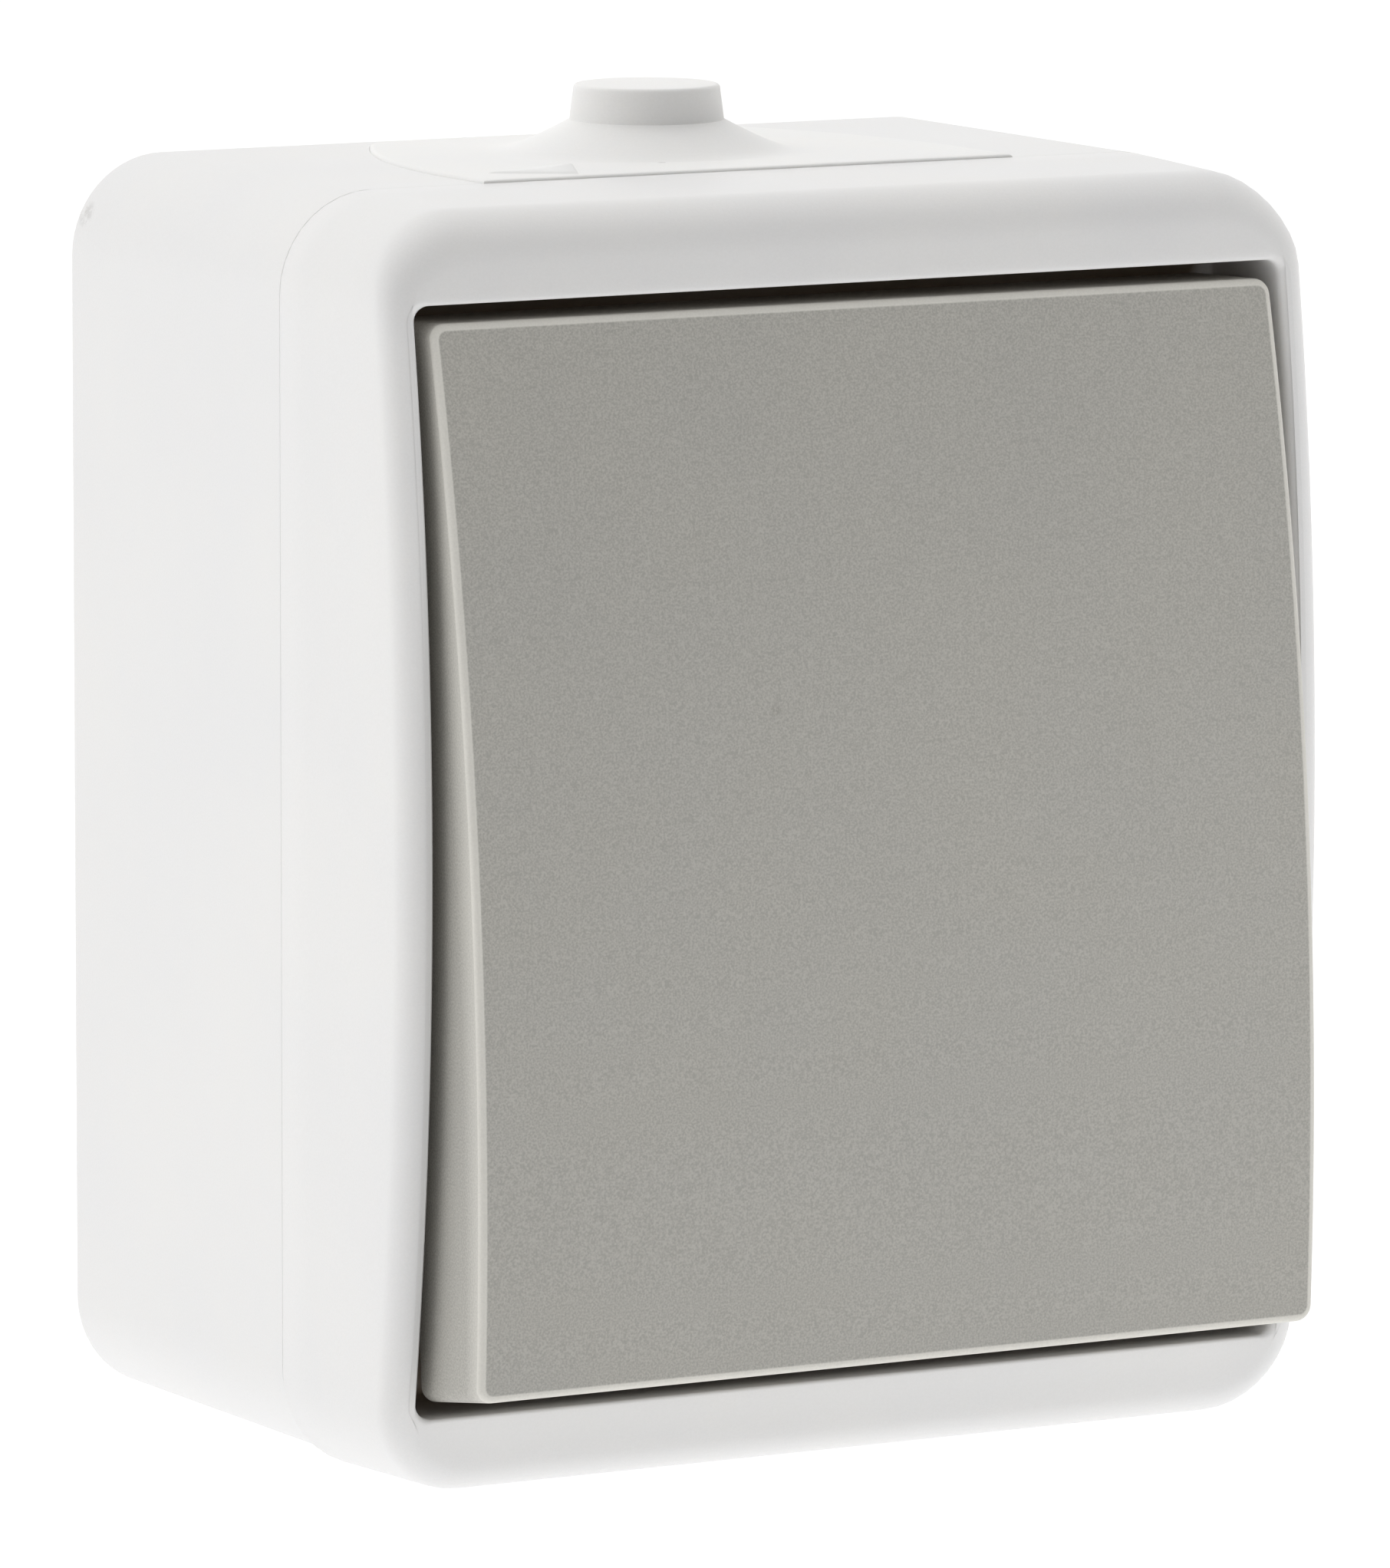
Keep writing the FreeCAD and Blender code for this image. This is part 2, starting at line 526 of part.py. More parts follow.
def make_back_box():
    box = new_body("back_box")
    outer = rounded("sizes.body_width", "sizes.body_height", "sizes.corner_radius")
    inner = rounded("sizes.body_width - 2 * sizes.box_wall", "sizes.body_height - 2 * sizes.box_wall",
                    "sizes.corner_radius - sizes.box_wall")
    rebate = rounded("sizes.body_width - 2 * sizes.lip_wall", "sizes.body_height - 2 * sizes.lip_wall",
                     "sizes.corner_radius - sizes.lip_wall")
    pad(box, [outer], "0", "sizes.box_depth")
    cut(box, [inner], "sizes.rear_wall", "sizes.box_depth")
    cut(box, [rebate], "sizes.box_depth - sizes.rebate_depth", "sizes.box_depth")

    seat = cut(box, [plate_plan("-sizes.plate_gap")], SEAT, BOX_TOP, "XY_Plane")
    soften(box, seat, at_plate_back, "sizes.plate_corner + sizes.plate_gap")
    cut(box, [plate_plan("sizes.plate_neck - sizes.plate_gap", "sizes.plate_shelf - sizes.plate_neck")],
        f"{INNER_TOP} - sizes.box_wall", BOX_TOP, "XY_Plane")

    pillar = pad(box, [circle("sizes.pillar_width", PILLAR_ACROSS, PILLAR_UP)],
                 "sizes.rear_wall", PILLAR_TOP)
    bore = cut(box, [circle("sizes.screw_width + 2 * sizes.thread_play", PILLAR_ACROSS,
                            PILLAR_UP)],
               f"{PILLAR_TOP} - sizes.screw_grip", PILLAR_TOP)
    half_turn(box, [pillar, bore])
    guide = pad(box, [circle("sizes.pillar_width", f"-{PILLAR_ACROSS}", PILLAR_UP)],
                "sizes.rear_wall", PILLAR_TOP)
    pin = pad(box, [circle("sizes.pin_width", f"-{PILLAR_ACROSS}", PILLAR_UP)],
              PILLAR_TOP, f"{PILLAR_TOP} + sizes.pin_rise")
    half_turn(box, [guide, pin])

    post = pad(box, [circle("sizes.pillar_width", EAR_ACROSS, MIDDLE)],
               "sizes.rear_wall", PLATE_REAR)
    post_bore = cut(box, [circle("sizes.screw_width + 2 * sizes.thread_play", EAR_ACROSS, MIDDLE)],
                    f"{PLATE_REAR} - sizes.post_grip", PLATE_REAR)
    mirrored(box, [post, post_bore])

    boss = pad(box, [circle("sizes.bolt_boss", "0", BOLT_UP)],
               "sizes.rear_wall", "sizes.rear_wall + sizes.bolt_boss_rise")
    hole = cut(box, [circle("sizes.bolt_hole", "0", BOLT_UP)],
               "0", "sizes.rear_wall + sizes.bolt_boss_rise")
    half_turn(box, [boss, hole])

    ring = [circle("sizes.knockout_width", "0", "-sizes.nipple_depth"),
            circle("sizes.knockout_width - 2 * sizes.knockout_groove", "0", "-sizes.nipple_depth")]
    cut(box, ring, "-" + BOX_TOP, f"-{BOX_TOP} + sizes.knockout_groove", "XY_Plane")
    return box


# Rubber membrane for the cable, pushed into the top wall

def make_membrane():
    membrane = new_body("cable_membrane")
    top = f"({BOX_TOP} + sizes.plate_proud)"
    plate = pad(membrane, [plate_plan("0")], SEAT, top, "XY_Plane")
    soften(membrane, plate, at_plate_back, "sizes.plate_corner")
    pad(membrane, [plate_plan("sizes.plate_neck", "sizes.plate_shelf - sizes.plate_neck")],
        f"{INNER_TOP} - sizes.plate_inner", SEAT, "XY_Plane")
    pad(membrane, [plate_plan("sizes.plate_neck / 2", "sizes.plate_shelf - sizes.plate_neck")],
        f"{INNER_TOP} - sizes.plate_inner", INNER_TOP, "XY_Plane")

    cone = pad(membrane, [circle("sizes.nipple_foot", "0", "-sizes.nipple_depth")], top,
               f"{top} + sizes.nipple_cone_rise", "XY_Plane")
    cone.setExpression("TaperAngle", "-atan((sizes.nipple_foot - sizes.nipple_waist) / 2 / "
                       "sizes.nipple_cone_rise)")
    stub = pad(membrane, [circle("sizes.nipple_waist", "0", "-sizes.nipple_depth")],
               f"{top} + sizes.nipple_cone_rise", f"{top} + sizes.nipple_rise", "XY_Plane")
    stub.setExpression("TaperAngle", "-atan((sizes.nipple_waist - sizes.nipple_top) / 2 / "
                       "(sizes.nipple_rise - sizes.nipple_cone_rise))")
    hollow_low = f"{INNER_TOP} - sizes.plate_inner"
    hollow_top = f"{top} + sizes.nipple_rise - sizes.nipple_wall"
    cut(membrane, [circle("sizes.nipple_top - 2 * sizes.nipple_wall", "0", "-sizes.nipple_depth")],
        hollow_low, hollow_top, "XY_Plane")
    return membrane


# Seal between the box and the frame

def make_rim_seal():
    seal = new_body("rim_seal")
    outer = "(sizes.lip_wall + sizes.seal_gap)"
    inner = "(sizes.box_wall - sizes.seal_gap)"
    ring = [rounded(f"sizes.body_width - 2 * {edge}", f"sizes.body_height - 2 * {edge}",
                    f"sizes.corner_radius - {edge}") for edge in (outer, inner)]
    pad(seal, ring, "sizes.box_depth - sizes.rebate_depth", SKIRT_REAR)
    return seal


# Arched front frame with the tray and the window

def make_front_frame():
    frame = new_body("front_frame")
    drop = "-sizes.drip_lip / 2"
    tall = "(sizes.body_height + sizes.drip_lip)"
    pad(frame, [rounded("sizes.body_width", tall, "sizes.corner_radius", "0", drop)],
        "sizes.box_depth", f"{CREST} + sizes.frame_edge")
    face = symmetric(frame, "Pocket",
                     side_of_arch(CREST, MIDDLE, "sizes.body_height", "sizes.arch_radius",
                                  f"{CREST} + sizes.body_height"), "2 * sizes.body_width")
    soften(frame, face, on_arch(CREST, MIDDLE), "sizes.frame_edge")

    plug = "(sizes.lip_wall + sizes.skirt_gap)"
    inside = "(sizes.lip_wall + sizes.skirt_gap + sizes.skirt_wall)"
    skirt = rounded(f"sizes.body_width - 2 * {plug}", f"sizes.body_height - 2 * {plug}",
                    f"sizes.corner_radius - {plug}")
    hollow = rounded(f"sizes.body_width - 2 * {inside}", f"sizes.body_height - 2 * {inside}",
                     f"sizes.corner_radius - {inside}")
    pad(frame, [skirt], SKIRT_REAR, "sizes.box_depth")
    cut(frame, [hollow], SKIRT_REAR, TRAY_REAR)
    cut(frame, [rounded(OPENING_WIDTH, OPENING_HEIGHT, "sizes.opening_radius", "0", MIDDLE)],
        TRAY, f"{CREST} + sizes.frame_edge")

    window = ("(sizes.turret_width + 4 * sizes.boot_gap + 2 * sizes.boot_wall)",
              "(sizes.turret_height + 4 * sizes.boot_gap + 2 * sizes.boot_wall)")
    dam = [rectangle(f"{window[0]} + 2 * sizes.dam_wall", f"{window[1]} + 2 * sizes.dam_wall", "0", MIDDLE),
           rectangle(window[0], window[1], "0", MIDDLE)]
    cut(frame, [rectangle(window[0], window[1], "0", MIDDLE)], TRAY_REAR, TRAY)
    pad(frame, dam, TRAY, f"{TRAY} + sizes.dam_rise")

    screw_hole = "sizes.screw_width + 2 * sizes.screw_clearance"
    pin_hole = "sizes.pin_width + 2 * sizes.screw_clearance"
    boss = pad(frame, [circle("sizes.boss_width", PILLAR_ACROSS, PILLAR_UP)],
               PILLAR_TOP, TRAY_REAR)
    hole = cut(frame, [circle(screw_hole, PILLAR_ACROSS, PILLAR_UP)],
               PILLAR_TOP, TRAY)
    half_turn(frame, [boss, hole])
    guide = pad(frame, [circle("sizes.boss_width", f"-{PILLAR_ACROSS}", PILLAR_UP)],
                PILLAR_TOP, TRAY_REAR)
    socket = cut(frame, [circle(pin_hole, f"-{PILLAR_ACROSS}", PILLAR_UP)],
                 PILLAR_TOP, f"{PILLAR_TOP} + sizes.pin_rise + sizes.screw_clearance")
    half_turn(frame, [guide, socket])
    return frame


def make_screws(label, across, up, seat, end):
    """One slotted screw with its head on a seat and its thread down to an end, both depths."""
    screws = new_body(label)
    pad(screws, [circle("sizes.screw_width", across, up)], end, seat)
    top = f"{seat} + sizes.screw_head_rise"
    pad(screws, [circle("sizes.screw_head", across, up)], seat, top)
    cut(screws, [rectangle("2 * sizes.screw_head", "sizes.slot_cut", across, up)],
        f"{top} - sizes.slot_cut", top)
    return screws


def make_frame_screws():
    screws = make_screws("frame_screws", PILLAR_ACROSS, PILLAR_UP,
                         f"({TRAY} + sizes.screw_seal_thickness)",
                         f"{PILLAR_TOP} - sizes.screw_grip + sizes.screw_clearance")
    half_turn(screws, []).TransformMode = "Whole shape"
    return screws


def make_mechanism_screws():
    screws = make_screws("mechanism_screws", f"-{EAR_ACROSS}", MIDDLE, EAR_FRONT,
                         f"{PLATE_REAR} - sizes.post_grip + sizes.screw_clearance")
    paired(screws, f"2 * {EAR_ACROSS}")
    return screws


def make_screw_seals():
    seals = new_body("screw_seals")
    ring = [circle("sizes.screw_seal_width", PILLAR_ACROSS, PILLAR_UP),
            circle("sizes.screw_width + 2 * sizes.seal_gap", PILLAR_ACROSS, PILLAR_UP)]
    pad(seals, ring, TRAY, f"{TRAY} + sizes.screw_seal_thickness")
    half_turn(seals, []).TransformMode = "Whole shape"
    return seals


# Rocker, its carrier, and the sprung plunger inside, all drawn level about the hinge line

def new_tipped_body(label):
    """A piece drawn about the hinge line and tipped with the rocker, its top pressed in."""
    return new_body(label, PIVOT, MIDDLE, "-sizes.rocker_tilt")


def make_rocker():
    rocker = new_tipped_body("rocker")
    pad(rocker, [rounded(ROCKER_WIDTH, ROCKER_HEIGHT, "sizes.rocker_radius")],
        "sizes.rocker_rear", "sizes.rocker_crest + sizes.rocker_edge")
    face = symmetric(rocker, "Pocket",
                     side_of_arch("sizes.rocker_crest", "0", ROCKER_HEIGHT, "sizes.arch_radius",
                                  f"sizes.rocker_crest + {ROCKER_HEIGHT}"), f"2 * {ROCKER_WIDTH}")
    soften(rocker, face, on_arch("sizes.rocker_crest"), "sizes.rocker_edge", "Chamfer")
    symmetric(rocker, "Pocket",
              side_of_arch("sizes.rocker_crest - sizes.rocker_wall", "0",
                           f"({ROCKER_HEIGHT} / 2 - sizes.rocker_wall)",
                           "sizes.arch_radius - sizes.rocker_wall", "sizes.rocker_rear"),
              f"{ROCKER_WIDTH} - 2 * sizes.rocker_wall")

    inner = "sizes.rocker_crest - sizes.rocker_wall"
    rib_rear = f"{inner} - sizes.rib_rise"
    long_rib = pad(rocker, [rectangle("sizes.rib_wall", "2 * sizes.platform_height",
                                      "sizes.rib_across", "0")],
                   rib_rear, inner)
    mirrored(rocker, [long_rib])
    cross_rib = pad(rocker, [rectangle("sizes.platform_width - 2 * sizes.clip_wall", "sizes.rib_wall",
                                       "0", "sizes.platform_height / 2 - sizes.rib_wall")],
                    "sizes.platform_rear + sizes.platform_thickness", inner)
    mirrored(rocker, [cross_rib], "XY_Plane")

    hook_rear = "sizes.platform_rear - sizes.hook_reach"
    for side in ("", "-"):
        for end in ("", "-"):
            leg = rectangle("sizes.clip_wall", "sizes.clip_width",
                            f"{side}(sizes.platform_width + sizes.clip_wall) / 2", end + "sizes.clip_up")
            hook = rectangle("sizes.hook_reach", "sizes.clip_width",
                             f"{side}(sizes.platform_width - sizes.hook_reach) / 2",
                             end + "sizes.clip_up")
            pad(rocker, [leg], hook_rear, inner)
            pad(rocker, [hook], hook_rear, "sizes.platform_rear")
    return rocker


def make_carrier():
    carrier = new_tipped_body("rocker_carrier")
    pad(carrier, [rectangle("sizes.core_width", "sizes.core_height")], "-sizes.core_rear",
        "sizes.core_front")
    pad(carrier, [rectangle("sizes.neck_width", "sizes.neck_height")], "sizes.core_front",
        "sizes.platform_rear")
    pad(carrier, [rounded("sizes.platform_width", "sizes.platform_height", "sizes.platform_thickness")],
        "sizes.platform_rear", "sizes.platform_rear + sizes.platform_thickness")
    symmetric(carrier, "Pad", circle("sizes.trunnion_width"), "2 * sizes.trunnion_reach")
    pad(carrier, [circle("sizes.barrel_width")], "-sizes.barrel_reach", "0")
    cut(carrier, [circle("sizes.barrel_bore")], "-sizes.barrel_reach", "sizes.barrel_end")
    return carrier


def make_plunger():
    plunger = new_tipped_body("plunger")
    shank = turned(plunger, polygon(("sizes.plunger_head", "0"), (PLUNGER_REACH, "0"),
                                    (PLUNGER_REACH, "sizes.plunger_tip"),
                                    (f"{PLUNGER_REACH} - sizes.plunger_cone", "sizes.plunger_width / 2"),
                                    ("sizes.plunger_head", "sizes.plunger_width / 2")), "Y_Axis")
    tip = number(PLUNGER_REACH)
    soften(plunger, shank, lambda edge: abs(edge.BoundBox.YMin - tip) < SAME,
           "sizes.plunger_tip / 2", "Chamfer")
    return plunger


def make_spring():
    spring = new_tipped_body("plunger_spring")
    low = "sizes.plunger_head - sizes.spring_wire / 2"
    coil = spring.newObject("PartDesign::AdditiveHelix", "plunger_spring_coil")
    coil.Profile = sketch_on(spring, "YZ_Plane",
                             [rectangle("sizes.spring_wire", "sizes.spring_wire", low,
                                        "(sizes.spring_width - sizes.spring_wire) / 2")], "0")
    coil.ReferenceAxis = (datum(spring, "Y_Axis"), [""])
    coil.Mode = "height-turns-angle"
    coil.setExpression("Height", "sizes.plunger_head + sizes.barrel_end - sizes.spring_wire")
    coil.setExpression("Turns", "sizes.spring_turns")
    coil.Reversed = True
    return spring


# Rubber boot over the turret

def make_boot():
    boot = new_body("rocker_boot", "0", MIDDLE)
    inner = [f"(sizes.turret_{way} + 2 * sizes.boot_gap)" for way in ("width", "height")]
    outer = [f"({side} + 2 * sizes.boot_wall)" for side in inner]
    roof = f"({PIVOT} + sizes.boot_roof)"
    neck = [f"(sizes.neck_{way} + 2 * sizes.boot_lip)" for way in ("width", "height")]
    pad(boot, [rectangle("sizes.step_width", "sizes.step_height")], STEP_FRONT, TRAY_REAR)
    pad(boot, [rectangle(*outer)], TRAY_REAR, f"{roof} + sizes.boot_wall")
    cut(boot, [rectangle(*inner)], STEP_FRONT, roof)
    cut(boot, [rectangle(*neck)], roof, f"{roof} + sizes.boot_wall")
    return boot


# Mechanism: base, cover and what they hold, drawn about the middle of the opening

def make_base():
    base = new_body("mechanism_base", "0", MIDDLE)
    pad(base, [rounded(BASE_WIDTH, "sizes.base_height", "sizes.base_radius")],
        BASE_REAR, BASE_FRONT)
    cut(base, [rectangle("sizes.chamber_width", "sizes.chamber_height")], FLOOR, BASE_FRONT)
    stop_top = f"{LEVER_PIVOT} - sizes.lever_down * sin(sizes.lever_tilt) - 2 * sizes.contact_gap_closed"
    pad(base, [rectangle("sizes.chamber_width", "sizes.chamber_height / 2 - sizes.contact_arm + "
                         "sizes.contact_width / 2", "0",
                         "-(sizes.chamber_height / 2 + sizes.contact_arm - sizes.contact_width / 2) / 2")],
        FLOOR, stop_top)

    pocket = cut(base, [rectangle("sizes.pocket_width", "sizes.pocket_width", TERMINAL_ACROSS,
                                  "sizes.terminal_up")], FLOOR, BASE_FRONT)
    entry = cut(base, [circle("sizes.wire_entry", TERMINAL_ACROSS, "-" + WIRE_DEPTH)],
                "sizes.terminal_up", "sizes.base_height / 2", "XY_Plane")
    mirrored(base, [pocket, entry])
    channel_top = f"{STRIP_FRONT} + sizes.strip_gap"
    cut(base, [common_plan("sizes.strip_gap")], FLOOR, channel_top)
    cut(base, [switched_plan("sizes.strip_gap")], FLOOR, channel_top)

    ear = pad(base, [circle("sizes.ear_width", EAR_ACROSS, "0")], PLATE_REAR, EAR_FRONT)
    web = pad(base, [rectangle(f"{EAR_ACROSS} - {BASE_WIDTH} / 2 + sizes.base_radius",
                               "sizes.ear_width",
                               f"({EAR_ACROSS} + {BASE_WIDTH} / 2 - sizes.base_radius) / 2", "0")],
              PLATE_REAR, EAR_FRONT)
    hole = cut(base, [circle("sizes.screw_width + 2 * sizes.screw_clearance", EAR_ACROSS, "0")],
               PLATE_REAR, EAR_FRONT)
    mirrored(base, [ear, web, hole])
    return base


def common_plan(gap):
    """Strip from the left terminal down and across to the middle, grown by a gap."""
    outer = f"-({TERMINAL_ACROSS} + sizes.strip_width / 2 + {gap})"
    inner = f"-({TERMINAL_ACROSS} - sizes.strip_width / 2 - {gap})"
    end = f"(sizes.lever_width / 2 + {gap})"
    low, high = f"-(sizes.strip_width / 2 + {gap})", f"(sizes.strip_width / 2 + {gap})"
    top = "sizes.terminal_up"
    return polygon((outer, low), (end, low), (end, high), (inner, high), (inner, top), (outer, top))


def switched_plan(gap):
    """Strip from the right terminal across to the fixed contact, grown by a gap."""
    low = f"(sizes.contact_arm - sizes.strip_width / 2 - {gap})"
    high = f"(sizes.contact_arm + sizes.strip_width / 2 + {gap})"
    end = f"-(sizes.lever_width / 2 + {gap})"
    outer = f"({TERMINAL_ACROSS} + sizes.strip_width / 2 + {gap})"
    inner = f"({TERMINAL_ACROSS} - sizes.strip_width / 2 - {gap})"
    top = "sizes.terminal_up + sizes.strip_width / 2"
    return polygon((end, low), (outer, low), (outer, top), (inner, top), (inner, high), (end, high))


def make_common_terminal():
    strip = new_body("common_terminal", "0", MIDDLE)
    pad(strip, [common_plan("0")], FLOOR, STRIP_FRONT)
    edge = f"({LEVER_PIVOT} - sizes.lever_gap)"
    half = "sizes.strip_thickness"
    shoulder = f"-({edge} - sizes.knife_rise)"
    symmetric(strip, "Pad", polygon(("-" + edge, "0"), (shoulder, "-" + half), ("-" + FLOOR, "-" + half),
                                    ("-" + FLOOR, half), (shoulder, half)), "sizes.lever_width")
    return strip


def make_switched_terminal():
    strip = new_body("switched_terminal", "0", MIDDLE)
    pad(strip, [switched_plan("0")], FLOOR, STRIP_FRONT)
    return strip


def make_fixed_contact():
    contact = new_body("fixed_contact", "0", MIDDLE)
    reach = "(sizes.contact_arm + sizes.contact_width / 2)"
    face = (f"{LEVER_PIVOT} - {reach} * sin(sizes.lever_tilt) - sizes.moving_contact_rise * "
            "cos(sizes.lever_tilt) - sizes.contact_gap_closed")
    pad(contact, [circle("sizes.contact_width", "0", "sizes.contact_arm")], STRIP_FRONT, face)
    return contact


def make_terminal_blocks():
    blocks = new_body("terminal_blocks")
    spot = TERMINAL_SPOT
    pad(blocks, [rectangle("sizes.block_size", "sizes.block_size", *spot)], STRIP_FRONT, BLOCK_FRONT)
    cut(blocks, [circle("sizes.wire_hole", spot[0], "-" + WIRE_DEPTH)],
        f"{spot[1]} - sizes.block_size / 2", f"{spot[1]} + sizes.block_size / 2", "XY_Plane")
    cut(blocks, [circle("sizes.terminal_thread + 2 * sizes.thread_play", *spot)], WIRE_DEPTH, BLOCK_FRONT)
    paired(blocks, f"2 * {TERMINAL_ACROSS}")
    return blocks


def make_terminal_screws():
    screws = new_body("terminal_screws")
    spot = TERMINAL_SPOT
    seat = f"({BLOCK_FRONT} + sizes.screw_clearance)"
    top = f"{seat} + sizes.terminal_head_rise"
    pad(screws, [circle("sizes.terminal_thread", *spot)], f"{WIRE_DEPTH} + sizes.wire_hole / 2", seat)
    pad(screws, [circle("sizes.terminal_head", *spot)], seat, top)
    cut(screws, [rectangle("2 * sizes.terminal_head", "sizes.slot_cut", *spot)],
        f"{top} - sizes.slot_cut", top)
    paired(screws, f"2 * {TERMINAL_ACROSS}")
    return screws


def make_cover():
    cover = new_body("mechanism_cover", "0", MIDDLE)
    plate_front = f"({BASE_FRONT} + sizes.cover_plate)"
    pad(cover, [rounded(BASE_WIDTH, "sizes.base_height", "sizes.base_radius")],
        BASE_FRONT, plate_front)
    pad(cover, [rectangle("sizes.step_width", "sizes.step_height")], plate_front, STEP_FRONT)
    pad(cover, [rectangle("sizes.turret_width", "sizes.turret_height")], STEP_FRONT, TURRET_FRONT)
    cut(cover, [rectangle("sizes.slot_width", "sizes.slot_height")], BASE_FRONT, TURRET_FRONT)
    driver = cut(cover, [circle("sizes.driver_hole", TERMINAL_ACROSS, "sizes.terminal_up")],
                 BASE_FRONT, plate_front)
    mirrored(cover, [driver])

    outer, level = "(sizes.turret_width / 2)", f"-{PIVOT}"
    ear = pad(cover, [rectangle(f"{PIVOT} - {TURRET_FRONT}", "2 * sizes.cheek_half",
                                f"-({PIVOT} + {TURRET_FRONT}) / 2", "0")],
              "sizes.cheek_inner", outer, "YZ_Plane")
    crown = pad(cover, [circle("2 * sizes.cheek_half", level, "0")], "sizes.cheek_inner", outer, "YZ_Plane")
    bearing = cut(cover, [circle("sizes.trunnion_width + 2 * sizes.running_gap", level, "0")],
                  "sizes.cheek_inner", outer, "YZ_Plane")
    mirrored(cover, [ear, crown, bearing])
    return cover


def make_lever():
    lever = new_body("contact_lever", LEVER_PIVOT, MIDDLE, "sizes.lever_tilt")
    pad(lever, [rectangle("sizes.lever_width", "sizes.lever_up + sizes.lever_down", "0",
                          "(sizes.lever_up - sizes.lever_down) / 2")], "0", "sizes.lever_thickness")
    return lever


def make_moving_contact():
    contact = new_body("moving_contact", LEVER_PIVOT, MIDDLE, "sizes.lever_tilt")
    pad(contact, [circle("sizes.contact_width", "0", "sizes.contact_arm")],
        "-sizes.moving_contact_rise", "0")
    return contact


parts = [
    make_back_box(),
    make_membrane(),
    make_rim_seal(),
    make_front_frame(),
    make_frame_screws(),
    make_screw_seals(),
    make_rocker(),
    make_carrier(),
    make_plunger(),
    make_spring(),
    make_boot(),
    make_base(),
    make_cover(),
    make_mechanism_screws(),
    make_common_terminal(),
    make_switched_terminal(),
    make_fixed_contact(),
    make_terminal_blocks(),
    make_terminal_screws(),
    make_lever(),
    make_moving_contact(),
]
doc.recompute()

broken = [item.Label for item in doc.Objects if {"Invalid", "Error"} & set(item.State)]
if broken:
    raise RuntimeError("features failed: " + ", ".join(broken))
for part in parts:
    if part.Shape.isNull() or not part.Shape.isValid():
        raise RuntimeError("no sound solid: " + part.Label)

os.makedirs("parts", exist_ok=True)
for part in parts:
    part.Shape.exportStep(f"parts/{part.Label}.step")
    print(part.Label, len(part.Shape.Solids), round(part.Shape.Volume, 1))
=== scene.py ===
"""Looks of an outdoor surface switch: white moulded box and frame, grey rocker, rubber cable membrane."""
import json
import math

import bmesh
import bpy
import numpy as np
from mathutils import Matrix, Vector

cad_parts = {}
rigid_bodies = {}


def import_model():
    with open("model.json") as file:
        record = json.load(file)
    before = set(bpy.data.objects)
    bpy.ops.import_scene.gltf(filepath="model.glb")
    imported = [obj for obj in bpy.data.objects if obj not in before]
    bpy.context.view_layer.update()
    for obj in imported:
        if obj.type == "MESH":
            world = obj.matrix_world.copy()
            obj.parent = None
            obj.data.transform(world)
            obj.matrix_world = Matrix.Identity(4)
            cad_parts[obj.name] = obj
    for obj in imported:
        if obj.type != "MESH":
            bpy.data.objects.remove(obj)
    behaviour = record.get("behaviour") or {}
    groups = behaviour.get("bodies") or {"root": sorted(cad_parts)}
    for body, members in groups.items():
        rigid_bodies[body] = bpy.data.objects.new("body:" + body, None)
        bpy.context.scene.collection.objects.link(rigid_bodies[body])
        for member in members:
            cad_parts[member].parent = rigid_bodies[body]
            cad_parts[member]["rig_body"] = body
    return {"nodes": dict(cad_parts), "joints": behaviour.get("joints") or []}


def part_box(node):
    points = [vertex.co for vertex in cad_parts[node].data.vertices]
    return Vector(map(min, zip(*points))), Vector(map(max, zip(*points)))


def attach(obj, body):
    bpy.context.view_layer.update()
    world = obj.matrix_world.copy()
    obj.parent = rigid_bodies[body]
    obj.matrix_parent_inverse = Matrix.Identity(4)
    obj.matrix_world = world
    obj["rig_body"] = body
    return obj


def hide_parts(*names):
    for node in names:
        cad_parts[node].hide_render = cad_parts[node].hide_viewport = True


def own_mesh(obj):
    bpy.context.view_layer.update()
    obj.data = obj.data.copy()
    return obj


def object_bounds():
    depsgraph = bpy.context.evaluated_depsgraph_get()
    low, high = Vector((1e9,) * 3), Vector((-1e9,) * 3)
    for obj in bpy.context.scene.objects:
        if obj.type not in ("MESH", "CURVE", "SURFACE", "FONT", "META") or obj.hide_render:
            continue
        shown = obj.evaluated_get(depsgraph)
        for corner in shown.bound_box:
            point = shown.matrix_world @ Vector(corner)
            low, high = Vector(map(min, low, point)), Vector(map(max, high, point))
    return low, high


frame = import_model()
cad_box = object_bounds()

bl_info = {
    "name": "Outdoor surface switch",
    "version": (1, 0, 0),
    "blender": (4, 5, 0),
    "location": "3D View > Sidebar > Switch",
    "description": "Dresses the packed switch with its finishes, soft edges and a studio",
    "category": "Object",
}

MM = 0.001


# Places that the frame gives; a depth is the distance from the wall, towards the user

def node_box(node):
    """Lowest and highest corner of a node's box, as arrays."""
    return [np.array(corner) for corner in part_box(node)]


box_high = node_box("back_box")[1]
frame_low, frame_high = node_box("front_frame")
plate_low, plate_high = node_box("cable_membrane")
HINGE = next(joint for joint in frame["joints"] if joint["name"] == "rocker_hinge")
TILT = math.radians(HINGE["range_deg"][1] / 2)
PIVOT_DEPTH, MIDDLE = -HINGE["pos_m"][1], HINGE["pos_m"][2]
HALF_WIDTH, BODY_TOP, PARTING = box_high[0], box_high[2], -plate_low[1]
CREST = -frame_low[1]

